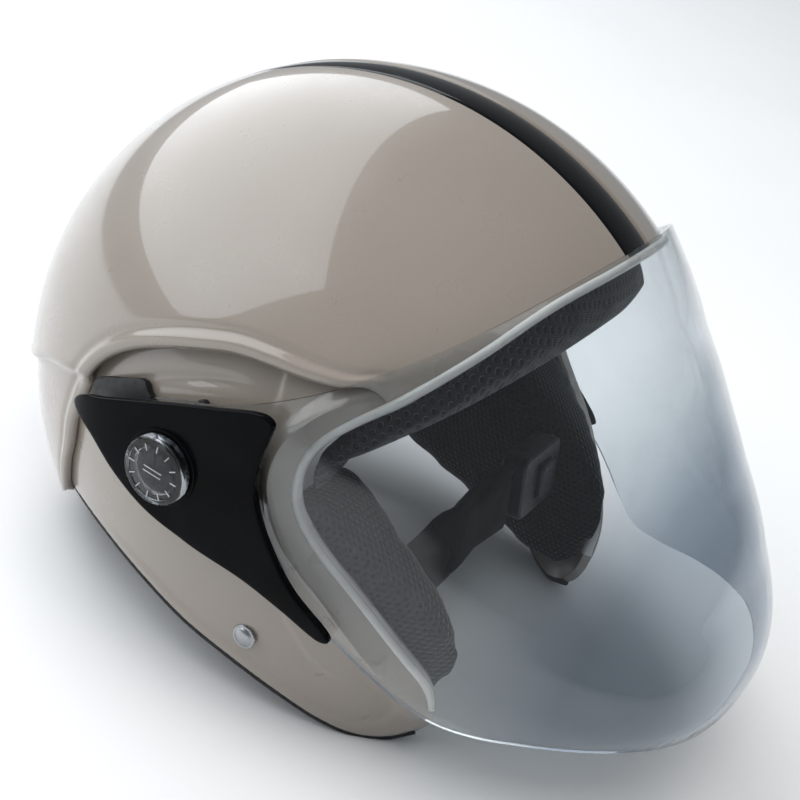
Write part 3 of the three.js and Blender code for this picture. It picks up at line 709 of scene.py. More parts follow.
def edge_rubber():
    """Matt black rubber with a fine stipple and pale dust."""
    m = Recipe("edge_rubber")
    m.colour(m.ramp(m.noise(80, 5), 0.4, 0.75, 0, 1), "111113", "232325")
    m.rough(m.ramp(m.noise(300, 3), 0.3, 0.7, 0.62, 0.85))
    m.relief(m.cells(1600), 0.05, 0.6)
    return m.material


def liner_foam():
    """Moulded bead foam: packed grains with dark joints."""
    m = Recipe("liner_foam", Roughness=0.85)
    edge = m.cells(330, feature="DISTANCE_TO_EDGE")
    m.colour(m.ramp(edge, 0.0, 0.12, 0, 1), "0a0a0b", "18181a")
    m.relief(m.ramp(edge, 0.0, 0.25, 0, 1), 0.35, 0.7)
    return m.material


def lining_cloth():
    """Brushed black knit with a soft nap and pale lint."""
    m = Recipe("lining_cloth", Roughness=0.95, Sheen_Weight=0.06, Sheen_Roughness=0.45,
               Specular_IOR_Level=0.05)
    nap = m.noise(700, 4, roughness=0.7)
    m.colour(m.ramp(m.math("ADD", m.math("MULTIPLY", nap, 0.6), m.math("MULTIPLY", m.noise(60, 3), 0.4)),
                    0.35, 0.7, 0, 1), "030304", "0c0c0e")
    m.relief(nap, 0.5, 0.8)
    return m.material


def air_mesh_cloth():
    """Spacer mesh: an even field of round holes through a knitted black face."""
    m = Recipe("air_mesh_cloth", Sheen_Weight=0.3, Sheen_Roughness=0.4, Specular_IOR_Level=0.35)
    lattice = m.waves3(m.uv(), 0.0043)
    hole = m.ramp(lattice, 0.2, 1.1, 0, 1)
    yarn = m.waves3(m.uv(), 0.0008)
    face = m.ramp(yarn, -1.0, 2.2, 0, 1)
    tone = m.math("MULTIPLY", m.math("SUBTRACT", 1.0, hole), m.math("MULTIPLY_ADD", face, 0.6, 0.4))
    m.colour(tone, "020203", "26282d")
    m.rough(m.ramp(hole, 0, 1, 0.62, 0.95))
    m.relief(m.math("MULTIPLY_ADD", face, 0.15, m.math("SUBTRACT", 1.0, hole)), 1.1, 1.0)
    return m.material


def cheek_cloth():
    """Blue-grey knitted mesh with small diamond eyes, with painted shade on the sides that face in towards the head.
    """
    m = Recipe("cheek_cloth", Sheen_Weight=0.35, Sheen_Roughness=0.35, Specular_IOR_Level=0.3)
    lattice = m.waves3(m.uv(), 0.0025)
    eye = m.ramp(lattice, 0.0, 1.4, 0, 1)
    cloud = m.noise(40, 4)
    tone = m.math("MULTIPLY", m.math("SUBTRACT", 1.0, m.math("MULTIPLY", eye, 0.75)),
                  m.ramp(cloud, 0.3, 0.7, 0.75, 1.0))
    # Painted shade: faces turned in towards the middle drop to 0.12 of the cloth's tone, faces turned outward keep it.
    spot = m.node("ShaderNodeSeparateXYZ", {0: m.place}).outputs[0]
    facing = m.node("ShaderNodeSeparateXYZ", {0: m.node("ShaderNodeNewGeometry").outputs["Normal"]})
    outer = m.ramp(m.math("MULTIPLY", m.math("SIGN", spot), facing.outputs[0]), -0.1, 0.2, 0.12, 1)
    m.colour(m.math("MULTIPLY", tone, outer), "030405", "2c333d")
    m.rough(m.ramp(eye, 0, 1, 0.7, 0.95))
    m.relief(m.math("SUBTRACT", 1.0, eye), 0.35, 0.8)
    return m.material


def webbing():
    """Woven strap: fine ribs along it, crossed by the weft."""
    m = Recipe("webbing", Sheen_Weight=0.3, Sheen_Roughness=0.4)
    across = m.node("ShaderNodeTexWave", {"Vector": m.uv(), "Scale": 95.0, "Distortion": 0.2},
                    bands_direction="Y").outputs[1]
    over = m.node("ShaderNodeTexWave", {"Vector": m.uv(), "Scale": 130.0, "Distortion": 0.2},
                  bands_direction="X").outputs[1]
    weave = m.math("MULTIPLY", across, over)
    m.colour(m.ramp(weave, 0, 1, 0, 1), "0b0c0f", "2b2e36")
    m.rough(m.ramp(weave, 0, 1, 0.95, 0.75))
    m.relief(weave, 0.35, 0.9)
    return m.material


def steel():
    """Zinc plated steel, turned, with fine scratches."""
    m = Recipe("steel", Metallic=1.0)
    fine = m.noise(900, 5, roughness=0.6)
    m.colour(m.ramp(m.noise(120, 3), 0.3, 0.7, 0, 1), "85878a", "a9abae")
    m.rough(m.ramp(fine, 0.3, 0.7, 0.2, 0.36))
    m.relief(fine, 0.02, 0.4)
    return m.material


def base_plastic():
    """Black glass-filled nylon with a spark-eroded grain."""
    m = Recipe("base_plastic")
    m.colour(m.ramp(m.noise(200, 4), 0.35, 0.7, 0, 1), "08090a", "121316")
    m.rough(m.ramp(m.noise(400, 3), 0.3, 0.7, 0.42, 0.6))
    m.relief(m.cells(2200), 0.03, 0.5)
    return m.material


def buckle_plastic():
    """Dark blue-black moulded buckle with a fine grain."""
    m = Recipe("buckle_plastic")
    m.colour(m.ramp(m.noise(150, 4), 0.35, 0.7, 0, 1), "0a0b0d", "14161a")
    m.rough(m.ramp(m.noise(500, 3), 0.3, 0.7, 0.34, 0.5))
    m.relief(m.cells(1900), 0.03, 0.5)
    return m.material


def blackened_steel():
    """Black zinc plated steel, turned, with fine scratches."""
    m = Recipe("blackened_steel", Metallic=1.0)
    fine = m.noise(900, 5, roughness=0.6)
    m.colour(m.ramp(m.noise(120, 3), 0.3, 0.7, 0, 1), "3b3c3f", "55575a")
    m.rough(m.ramp(fine, 0.3, 0.7, 0.22, 0.4))
    m.relief(fine, 0.02, 0.4)
    return m.material


def cap_clear():
    """Clear moulded cap with light surface haze."""
    m = Recipe("cap_clear", Base_Color=hexed("9da1a5"), Transmission_Weight=1.0, IOR=1.4)
    m.rough(m.ramp(m.noise(260, 3), 0.35, 0.7, 0.02, 0.1))
    m.relief(m.noise(300, 2), 0.02, 0.3)
    return m.material


def tick_print():
    """Pale printed ring of marks under the cap."""
    m = Recipe("tick_print")
    m.colour(m.ramp(m.noise(600, 3), 0.35, 0.7, 0, 1), "aeb1b4", "c6c8ca")
    m.rough(m.ramp(m.noise(500, 3), 0.3, 0.7, 0.3, 0.5))
    return m.material


def visor_clear():
    """Clear shield, cooler and darker in colour over its lower front, with a faint surface haze."""
    m = Recipe("visor_clear", Transmission_Weight=1.0, IOR=1.42)
    spot = m.node("ShaderNodeSeparateXYZ", {0: m.place})
    forward = m.ramp(m.math("MULTIPLY", spot.outputs[1], -1.0), 0.08, 0.118, 0, 1)
    low = m.ramp(spot.outputs[2], PIVOT[2] + 0.05, PIVOT[2] + 0.1, 1, 0)
    m.colour(m.math("MULTIPLY", forward, low), "eef2f4", "b0b9c2")
    m.rough(m.ramp(m.noise(70, 4), 0.35, 0.75, 0.0, 0.02))
    return m.material


PAINTS = {}


def paint(name):
    """The finish of that name, made once."""
    if name not in PAINTS:
        PAINTS[name] = globals()[name]()
    return PAINTS[name]


# ------------------------------------------------------------ the hard shell
SEAM_SIDE = -1.0

def brow_edge():
    """The dome's front edge from its middle out to the corner, as u over v."""
    line = flow([BROW_END, *FACE_EDGE[:3], FRONT_CORNER], 0.3)
    line = line[skin_half(line[:, 0], line[:, 1], 0) > 1]
    u, v = dome_angles(line[:, 0], line[:, 1])
    order = np.argsort(v)
    return v[order], u[order]


def nape_edge():
    line = flow([REAR_CORNER, *LOWER_EDGE[13:], (124, -56)], 0.3)
    line = line[skin_half(line[:, 0], line[:, 1], 0) > 1]
    u, v = dome_angles(line[:, 0], line[:, 1])
    order = np.argsort(v)
    return v[order], u[order]


def dome_depth(y, z, x):
    """Inset of the dome skin: centre channel, rear crease and sunk front corner."""
    channel = CHANNEL_DEEP * (1 - smooth((np.abs(x) - CHANNEL_HALF) / 0.9))
    channel = channel * np.where(y > 0, smooth((z - 29.5) / 1.2), 1)
    above, _, _ = side_of(flow(REAR_CREASE, 4), y, z)
    crease = REAR_STEP * smooth((1.4 - above) / 2.8) * smooth((y - 53) / 9)
    roll = 0.5 * bump(above - 2.6, 1.8) * smooth((y - 60) / 9)
    corner = np.hypot(y - FRONT_CORNER[0], z - FRONT_CORNER[1])
    sunk = side_inset(y, z) * bump(corner, 8) * (np.abs(x) > 60)
    return channel + crease - roll + sunk


def dome_sheet(bm, extra, curl, along_steps, side_rows):
    """One welded sheet over the crown, from the channel out to both side rims."""
    brow_v, brow_u = brow_edge()
    nape_v, nape_u = nape_edge()
    rim = flow(DOME_RIM, 0.5)
    rim_u, rim_v = dome_angles(rim[:, 0], rim[:, 1])
    steps = np.concatenate([[0], np.cumsum(np.hypot(np.diff(rim[:, 0]), np.diff(rim[:, 1])))])
    at = np.linspace(0, steps[-1], along_steps)
    rim_u = np.interp(at, steps, rim_u)
    rim_v = np.interp(at, steps, rim_v)
    s = (rim_u - rim_u[0]) / (rim_u[-1] - rim_u[0])
    inner_v = math.asin(12 / HALF_WIDTH)

    def front(v):
        return np.interp(v, brow_v, brow_u)

    def back(v):
        return np.interp(v, nape_v, nape_u)

    rows = []
    marks = []
    for x in (0, 3, 6, 8.6, 9.3, 9.6, 9.9, 10.2, 10.5, 11, 12):
        v = math.asin(x / HALF_WIDTH)
        rows.append(np.column_stack([front(v) + s * (back(v) - front(v)), np.full(len(s), v)]))
        marks.append(np.full(len(s), 99.0))

    def coons(t):
        v_front = inner_v + t * (rim_v[0] - inner_v)
        v_back = inner_v + t * (rim_v[-1] - inner_v)
        first = front(inner_v) + s * (back(inner_v) - front(inner_v))
        u = ((1 - t) * first + t * rim_u + (1 - s) * front(v_front) + s * back(v_back)
             - (1 - s) * (1 - t) * front(inner_v) - (1 - s) * t * rim_u[0]
             - s * (1 - t) * back(inner_v) - s * t * rim_u[-1])
        v = ((1 - t) * inner_v + t * rim_v + (1 - s) * v_front + s * v_back
             - (1 - s) * ((1 - t) * inner_v + t * rim_v[0])
             - s * ((1 - t) * inner_v + t * rim_v[-1]))
        return u, v

    probe = np.array([dome_at(*coons(np.full(len(s), t)), 0.0) for t in np.linspace(0, 1, 30)])
    length = np.linalg.norm(np.diff(probe, axis=0), axis=2).sum(0)
    for k in range(1, side_rows + 1):
        t = (1 - 9 / length) * k / side_rows
        rows.append(np.column_stack(coons(t)))
        marks.append((1 - t) * length)
    for gap in (8, 7, 6.2, 5.5, 4.9, 4.3, 3.7, 3.1, 2.5, 1.9, 1.3, 0.65, 0):
        rows.append(np.column_stack(coons(1 - gap / length)))
        marks.append(np.full(len(s), float(gap)))
    uv = np.array(rows)
    gap = np.array(marks)
    base = dome_at(uv[..., 0], uv[..., 1], 0.0)
    depth = dome_depth(base[..., 1], base[..., 2], base[..., 0])
    lively = smooth((at - 4) / 16) * (1 - smooth((at - 190) / 40))
    lip = 0.55 * bump(gap - 5.2, 1.7) - 0.5 * bump(gap - 2.0, 1.6)
    points = dome_at(uv[..., 0], uv[..., 1], depth + lip * lively + extra)
    if curl:
        down = points[-1] - points[-3]
        down /= np.linalg.norm(down, axis=1)[:, None]
        run = np.gradient(points[-1], axis=0)
        out = np.cross(down, run)
        out /= np.linalg.norm(out, axis=1)[:, None]
        out *= np.sign((out * points[-1]).sum(1))[:, None]
        middle = points[-1] - curl * out
        turn = [middle + curl * (out * math.cos(a) + down * math.sin(a))
                for a in np.radians(np.arange(20, 181, 20))]
        tuck = turn[-1] - 3.2 * out - 0.6 * down
        points = np.concatenate([points, turn, [tuck]])
    add_rows(bm, points)
    mirrored_sheet(bm)
    bmesh.ops.remove_doubles(bm, verts=bm.verts, dist=1e-6)


def panel_depth(y, z):
    """Inset of the side panel: recess, ridge and hollow band round the opening, cheek contour."""
    depth = side_inset(y, z)
    ridge, run, whole = side_of(flow(EDGE_RIDGE, 2.5), y, z)
    d = -ridge
    high = 3.1 * smooth((run + 4) / 22) * (1 - 0.45 * smooth((run - whole + 30) / 30))
    t = np.clip(d / 12, 0, 1.3)
    band = np.clip(1 - t, 0, 1) ** 1.25 - 0.34 * np.sin(math.pi * np.clip(t, 0, 1))
    depth = depth - high * np.where(d < 0, bump(d, 3.6), band)
    depth = depth - 0.35 * high / 3.1 * bump(d, 1.2)
    contour, along_it, total = side_of(flow(CHEEK_CONTOUR, 2.5), y, z)
    live = smooth(along_it / 14) * (1 - smooth((along_it - total + 50) / 50))
    depth = depth + 1.1 * smooth((contour + 1.2) / 2.6) * live * (d < 0)
    below, _, _ = side_of(flow(DOME_RIM, 3), y, z)
    dent = 0.8 * bump(np.abs(below) - 13, 2.2) * smooth((y + 22) / 20) * (1 - smooth((y - 44) / 10))
    depth = depth + dent
    edge, _, _ = side_of(flow(LOWER_EDGE, 3), y, z)
    return depth + 1.3 * bump(edge, 1.8)


def panel_sheet(bm):
    under_dome = [
        (-69, 49.1), (-64, 54), (-55, 57), (-47, 56.5), (-33.8, 57.6), (-9.6, 59.8), (4, 58),
        (19, 54.3), (36, 48.6), (50, 40.8), (61, 30), (66, 20), (70, 9), (74, -6), (79, -20),
        (84.5, -35), (86, -39.5)]
    face = flow([(-69, 49.1), *FACE_EDGE[3:], *LOWER_EDGE[:13], (86, -39.5)], 1.5)
    outline = np.vstack([face[:-1], flow(under_dome[::-1], 1.6)[:-1]])
    ridge = flow(EDGE_RIDGE[1:-1], 1.6)
    flat, faces = filled(outline, 1.6, [ridge])

    def shape(p):
        x = skin_half(p[:, 0], p[:, 1], panel_depth(p[:, 0], p[:, 1]))
        return np.column_stack([-x, p[:, 0], p[:, 1]])

    add_sheet(bm, flat, faces, shape)
    mirrored_sheet(bm)


def shell_pieces():
    bm = bmesh.new()
    dome_sheet(bm, 0.0, 2.0, 260, 48)
    thicken(bm, 1.2)
    finish_mesh("shell_dome", bm, HELMET, "shell_paint", paint("shell_paint"), 40, ["outer_shell"])
    bm = bmesh.new()
    dome_sheet(bm, 1.35, 0, 110, 20)
    thicken(bm, 2.9)
    finish_mesh("shell_dome_wall", bm, HELMET, "shell_paint", paint("shell_paint"), 40)
    bm = bmesh.new()
    panel_sheet(bm)
    thicken(bm, 4.2)
    finish_mesh("shell_side_panels", bm, HELMET, "shell_paint", paint("shell_paint"), 50)


def strip_piece():
    """Gloss strip in the channel, crowned across, with eased long edges."""
    brow_v, brow_u = brow_edge()
    rows = []
    for x in (-9.1, -9.0, -8.6, -7, -4, 0, 4, 7, 8.6, 9.0, 9.1):
        v = math.asin(x / HALF_WIDTH)
        front = math.radians(1.2) + np.interp(abs(v), brow_v, brow_u)
        back = math.pi - math.asin(31 / HALF_HEIGHT)
        u = np.linspace(front, back, 240)
        lift = 0.5 * (1 - (x / STRIP_HALF) ** 2) - 0.4 * smooth((abs(x) - 8.4) / 0.7)
        rows.append(dome_at(u, np.full(len(u), v), STRIP_LOW - lift))
    bm = bmesh.new()
    add_rows(bm, rows)
    thicken(bm, 1.5)
    finish_mesh("channel_strip", bm, HELMET, "black_gloss", paint("strip_gloss"), 40, ["centre_strip"])


def even(path, step):
    """A 3-D path at even steps."""
    long = np.concatenate([[0], np.cumsum(np.linalg.norm(np.diff(path, axis=0), axis=1))])
    at = np.linspace(0, long[-1], max(2, round(long[-1] / step)))
    return np.column_stack([np.interp(at, long, path[:, k]) for k in range(3)])


def edge_path(line, depth, middle):
    """Both hands of an edge line on the skin; middle says which end crosses X = 0."""
    x = skin_half(line[:, 0], line[:, 1], depth)
    keep = x > 4
    right = np.column_stack([-x, line])[keep]
    if middle == "start":
        right = right[::-1]
    left = right[::-1] * (-1, 1, 1)
    path = even(np.vstack([right, left]), 1.6)
    for _ in range(3):
        path[1:-1] = (path[:-2] + 2 * path[1:-1] + path[2:]) / 4
    return path


def edge_beading():
    """Silver bead clipped over the edge of the face opening and both cheeks."""
    line = flow([BROW_END, *FACE_EDGE], 0.5)
    band = panel_depth(line[:, 0], line[:, 1])
    brow = smooth((-line[:, 0] - 58) / 12) * smooth((line[:, 1] - 40) / 6)
    path = edge_path(line, band * (1 - brow), "start")
    bm = bmesh.new()
    section = rounded(1.75, 2.9, -1.7)
    section[:, 0] += 1.6 * SEAM_SIDE
    sweep(bm, path, section, dome_outward(path))
    finish_mesh("opening_beading", bm, HELMET, "silver_beading", paint("silver_beading"), 50,
                ["face_opening_trim"])


def edge_rubber_piece():
    """Rubber along the lower edge, flattened where the helmet stands."""
    line = flow([*LOWER_EDGE[1:], (124, -56)], 0.5)
    path = edge_path(line, np.full(len(line), 8.3), "end")
    bm = bmesh.new()
    section = rounded(1.7, 1.9, 0)
    section[:, 0] += 0.9
    sweep(bm, path, section, dome_outward(path))
    for v in bm.verts:
        v.co.z = max(v.co.z, 0.0)
    finish_mesh("lower_edge_rubber", bm, HELMET, "edge_rubber", paint("edge_rubber"), 50,
                ["neck_edge_trim"])


# ------------------------------------------------------------- clear shield
FLAT = 150.0


def visor_power(deg):
    return 2.5 - 0.35 * smooth((deg - 5) / 30)


def visor_shape(p):
    """Flat drawing round the pivot to the shield's outer face (right half)."""
    rho = np.clip(np.hypot(p[:, 0], p[:, 1]) / FLAT, 0, 1)
    deg = np.degrees(np.arctan2(p[:, 1], -p[:, 0]))
    n = visor_power(deg)
    tau = (1 - rho) * math.pi / 2
    r = along(VISOR_REACH, deg) * np.cos(tau) ** (2 / n)
    x = VISOR_HALF * np.sin(tau) ** (2 / n)
    x[rho > 0.99999] = 0
    a = np.radians(deg)
    return np.column_stack([-x, HUB[0] - r * np.cos(a), HUB[1] + r * np.sin(a)])


def visor_flat(line):
    """Side view points to the flat drawing, and how far out each lies (1 at the middle)."""
    dy = HUB[0] - line[:, 0]
    dz = line[:, 1] - HUB[1]
    deg = np.degrees(np.arctan2(dz, dy))
    part = np.clip(np.hypot(dy, dz) / along(VISOR_REACH, deg), 0, 2)
    tau = np.arccos(np.clip(part ** (visor_power(deg) / 2), 0, 1))
    rho = 1 - tau / (math.pi / 2)
    a = np.radians(deg)
    return np.column_stack([-np.cos(a), np.sin(a)]) * (FLAT * rho)[:, None], part, deg


def visor_piece():
    line = flow(VISOR_OUTLINE, 0.4)
    flat, part, deg = visor_flat(line)
    on = np.nonzero(part < 0.9995)[0]
    flat = flat[on[0]:on[-1] + 1]
    top, low = deg[on[0]], deg[on[-1]]
    keep = [0]
    for i in range(1, len(flat)):
        if np.linalg.norm(flat[i] - flat[keep[-1]]) > 1.4:
            keep.append(i)
    arc = np.radians(np.linspace(low, top, 90))
    middle = np.column_stack([-np.cos(arc), np.sin(arc)]) * FLAT
    outline = np.vstack([flat[keep], middle])
    if np.linalg.norm(outline[0] - outline[-1]) < 0.5:
        outline = outline[1:]
    points, faces = filled(outline, 1.9)
    bm = bmesh.new()
    add_sheet(bm, points, faces, visor_shape)
    mirrored_sheet(bm)
    bmesh.ops.remove_doubles(bm, verts=bm.verts, dist=2e-5)
    open_at_pivot(bm, 0.0082)
    thicken(bm, VISOR_THICK)
    finish_mesh("clear_shield", bm, SHIELD, "visor_clear", paint("visor_clear"), 45, ["visor"])


# ------------------------------------------------------------- side covers
def plate_shape(p, side, inset=0.0):
    dy = HUB[0] - p[:, 0]
    dz = p[:, 1] - HUB[1]
    deg = np.degrees(np.arctan2(dz, dy))
    n = 2.5 + 1.5 * smooth((np.abs(deg) - 70) / 50)
    part = np.clip(np.hypot(dy, dz) / (along(PLATE_REACH, deg) - inset), 0, 1)
    x = (PLATE_HALF - inset) * (1 - part ** n) ** (1 / n)
    return np.column_stack([side * x, p[:, 0], p[:, 1]])


def plate_piece(side, hand):
    outline = flow(PLATE_OUTLINE, 1.0, closed=True)
    flat, faces = filled(outline, 1.8)
    bm = bmesh.new()
    add_sheet(bm, flat, faces, lambda p: plate_shape(p, side))
    thicken(bm, PLATE_THICK)
    ease_rim(bm, 0.0007, 3)
    finish_mesh(f"side_cover_{hand}", bm, HELMET, "black_gloss", paint("black_gloss"), 42,
                [f"side_plate_{hand}"])


def base_piece(side, hand):
    """Moulded base behind the cover, its top lip and catch showing over the cover's edge."""
    flat, faces = filled(flow(BASE_OUTLINE, 0.8, closed=True), 1.8)
    bm = bmesh.new()
    add_sheet(bm, flat, faces, lambda p: np.column_stack([
        side * skin_half(p[:, 0], p[:, 1], RECESS - BASE_PROUD), p[:, 0], p[:, 1]]))
    open_at_pivot(bm, 0.0078)
    thicken(bm, BASE_THICK)
    ease_rim(bm, 0.0005, 2)
    finish_mesh(f"cover_base_{hand}", bm, HELMET, "base_plastic", paint("base_plastic"), 42,
                [f"pivot_base_{hand}"])


def hub_cap_piece(side, hand):
    """Clear cap with raised marks round its face."""
    start = side * (PLATE_HALF + 0.4)
    profile = [(0, 3.1), (8.4, 3.1), (8.6, 2.9), (8.6, 0.0), (11.8, 0.0), (12.3, 0.15), (12.5, 0.6),
               (12.5, 3.4), (12.3, 4.1), (11.8, 4.5), (11.2, 4.6), (10.4, 4.6), (10.1, 4.3),
               (9.7, 4.25), (9.3, 4.5), (0, 4.75)]
    bm = bmesh.new()
    add_turned(bm, profile, start, HUB, 96)
    finish_mesh(f"pivot_cap_{hand}", bm, HELMET, "cap_clear", paint("cap_clear"), 40,
                [f"hub_cap_{hand}"])
    bm = bmesh.new()
    for k in range(12):
        long = 2.4
        made = bmesh.ops.create_cube(bm, size=1.0)["verts"]
        bmesh.ops.scale(bm, verts=made, vec=(0.0004, 0.0003, long / 1000))
        bmesh.ops.translate(bm, verts=made, vec=(0, 0, (11.7 - long / 2 - 1.6) / 1000))
        bmesh.ops.rotate(bm, verts=made, cent=(0, 0, 0),
                         matrix=Matrix.Rotation(2 * math.pi * k / 12, 3, "X"))
    for high, long in ((0.9, 7.5), (-0.9, 7.5)):
        made = bmesh.ops.create_cube(bm, size=1.0)["verts"]
        bmesh.ops.scale(bm, verts=made, vec=(0.0004, long / 1000, 0.0003))
        bmesh.ops.translate(bm, verts=made, vec=(0, 0, high / 1000))
    bmesh.ops.translate(bm, verts=bm.verts, vec=(
        (start + side * 4.62) / 1000, PIVOT[1], PIVOT[2]))
    finish_mesh(f"cap_marks_{hand}", bm, HELMET, "cap_clear", paint("tick_print"), 30)
    bm = bmesh.new()
    ring = [(8.45, 0.0), (12.3, 0.0), (13.6, 0.25), (14.1, 0.0), (14.1, -0.9), (8.45, -0.9), (8.45, 0.0)]
    add_turned(bm, ring, side * (PLATE_HALF + 0.25), HUB, 96)
    finish_mesh(f"cap_seat_{hand}", bm, HELMET, "black_gloss", paint("black_gloss"), 40)


def rivet_piece(side, hand):
    """Polished rivet with a low dome and a rolled rim."""
    skin = float(skin_half(*RIVET, side_inset(*RIVET)))
    profile = [(0, -6), (2.4, -6), (2.4, 0.3), (4.5, 0.3), (4.75, 0.55), (4.75, 0.95), (4.55, 1.25),
               (4.1, 1.35), (3.8, 1.3), (3.0, 1.9), (1.8, 2.35), (0, 2.5)]
    bm = bmesh.new()
    add_turned(bm, profile, side * (skin - 1.0), RIVET, 64)
    finish_mesh(f"strap_rivet_head_{hand}", bm, HELMET, "steel", paint("steel"), 40,
                [f"strap_rivet_{hand}"])


# --------------------------------------------------------------- soft goods
def lay_cloth(obj, kind):
    """Gives the piece its own lay of cloth, in metres, for the weave to follow."""
    mesh = obj.data
    layer = mesh.uv_layers.new(name="lay")
    for face in mesh.polygons:
        n = face.normal
        flat = max(range(3), key=lambda k: abs(n[k]))
        for loop in face.loop_indices:
            x, y, z = mesh.vertices[mesh.loops[loop].vertex_index].co
            if kind == "round":
                uv = (math.atan2(x, -y) * 0.105, math.atan2(z - 0.08, math.hypot(x, y)) * 0.11)
            elif flat == 0:
                uv = (y, z)
            elif flat == 1:
                uv = (x, z)
            else:
                uv = (x, y)
            layer.data[loop].uv = uv


def evaluated(obj):
    bpy.context.view_layer.update()
    graph = bpy.context.evaluated_depsgraph_get()
    return bpy.data.meshes.new_from_object(obj.evaluated_get(graph), depsgraph=graph)


def swollen(obj, cap):
    """Blows the cloth up under pressure, moving no point further than cap metres."""
    start = np.array([v.co[:] for v in obj.data.vertices])
    cloth = obj.modifiers.new("Fill", "CLOTH")
    cloth.settings.quality = 4
    cloth.settings.effector_weights.gravity = 0
    cloth.settings.use_pressure = True
    cloth.settings.uniform_pressure_force = 4
    cloth.collision_settings.use_collision = False
    scene = bpy.context.scene
    for number in range(1, 21):
        scene.frame_set(number)
    mesh = evaluated(obj)
    end = np.array([v.co[:] for v in mesh.vertices])
    bpy.data.meshes.remove(mesh)
    scene.frame_set(1)
    obj.modifiers.remove(cloth)
    move = end - start
    far = np.linalg.norm(move, axis=1)
    move *= np.minimum(1, cap / np.maximum(far, 1e-9))[:, None]
    for v, p in zip(obj.data.vertices, start + move):
        v.co = p


def pad_piece(name, node, slot, finish, lay, voxel=0.0042, cap=0.003, shrink=0.0012, ease=4, fill=0.9,
              shape=None):
    """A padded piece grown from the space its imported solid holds."""
    bm = bmesh.new()
    bm.from_mesh(frame["nodes"][node].data)
    bmesh.ops.remove_doubles(bm, verts=bm.verts, dist=1e-6)
    mesh = bpy.data.meshes.new(name)
    bm.to_mesh(mesh)
    bm.free()
    obj = bpy.data.objects.new(name, mesh)
    bpy.context.scene.collection.objects.link(obj)
    remesh = obj.modifiers.new("Even", "REMESH")
    remesh.mode = "VOXEL"
    remesh.voxel_size = voxel
    obj.data = evaluated(obj)
    obj.modifiers.remove(remesh)
    bm = bmesh.new()
    bm.from_mesh(obj.data)
    for _ in range(ease):
        bmesh.ops.smooth_vert(bm, verts=bm.verts, factor=0.5, use_axis_x=True, use_axis_y=True,
                              use_axis_z=True)
    bm.normal_update()
    for v in bm.verts:
        v.co -= v.normal * shrink
    bm.to_mesh(obj.data)
    bm.free()
    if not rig.quick() and cap:
        swollen(obj, cap)
    bm = bmesh.new()
    bm.from_mesh(obj.data)
    if shape:
        bm.normal_update()
        shape(bm)
    for face in bm.faces:
        face.smooth = True
    bm.to_mesh(obj.data)
    bm.free()
    obj.data.materials.clear()
    obj.data.materials.append(paint(finish))
    lay_cloth(obj, lay)
    soft = obj.modifiers.new("Soften", "SUBSURF")
    soft.levels = 1
    soft.render_levels = 1
    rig.ride(obj, HELMET)
    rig.slot(obj, slot)
    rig.replaces(obj, node)
    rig.padded(obj, fill=fill)
    return obj


BROW_SLIDE = 14.0


def lowered(bm):
    """Slides the brow cushion's sides down and forward, apart from the band along the opening's edge."""
    edge = flow([BROW_END, *FACE_EDGE], 2.0)
    spots = off_table([v.co[:] for v in bm.verts])
    gap, _, _ = side_of(edge, spots[:, 1], spots[:, 2])
    side = np.clip((np.abs(spots[:, 0]) - 25) / 45, 0, 1)
    reach = BROW_SLIDE * smooth((np.abs(gap) - 3) / 7) * (gap * SEAM_SIDE < 0) * side
    move = direction_on_table((0, -0.55, -0.84)) * 0.001
    for v, amount in zip(bm.verts, reach):
        v.co += move * float(amount)


def pads():
    for hand in ("right", "left"):
        pad_piece(f"cheek_cushion_{hand}", f"cheek_pad_{hand}", "cheek_cloth", "cheek_cloth",
                  "box", cap=bpy.context.scene.helmet_settings.cushion_swell)
    pad_piece("brow_cushion", "brow_pad", "air_mesh_cloth", "air_mesh_cloth", "round", voxel=0.0035,
              shape=lowered)
    pad_piece("nape_cushion", "neck_roll", "lining_cloth", "lining_cloth", "box", voxel=0.003,
              cap=0.002, shrink=0.0006)
    pad_piece("crown_cushion", "crown_lining", "lining_cloth", "lining_cloth", "round", voxel=0.0035,
              cap=0.0015, shrink=0.0005, fill=0.5)


# ------------------------------------------------------------- straps
STRAP_Y = -60.0
STRAP_Z = -31.5
BUCKLE_X = 39.0
BUCKLE_LONG = 34.0
SLEEVE_FROM = 0.46


def strap_route(side):
    start = float(skin_half(*RIVET, 0)) - WALL - 6.6
    points = [(start, RIVET[0], RIVET[1]), (start - 12, RIVET[0] - 8, RIVET[1]),
              (start - 24, RIVET[0] - 24, RIVET[1] + 0.5)]
    if side < 0:
        points += [(36, STRAP_Y, STRAP_Z), (10, STRAP_Y, STRAP_Z),
                   (-(BUCKLE_X - BUCKLE_LONG / 2 - 6), STRAP_Y, STRAP_Z)]
    else:
        points += [(62, STRAP_Y + 0.8, STRAP_Z), (BUCKLE_X + BUCKLE_LONG / 2 + 0.8, STRAP_Y, STRAP_Z)]
    return np.array(points) * (side, 1, 1)


def level_facing(path):
    """Level directions square to a path, for a band whose width stands upright."""
    tangent = np.gradient(path, axis=0)
    out = np.column_stack([-tangent[:, 1], tangent[:, 0], np.zeros(len(path))])
    return out / np.linalg.norm(out, axis=1)[:, None]


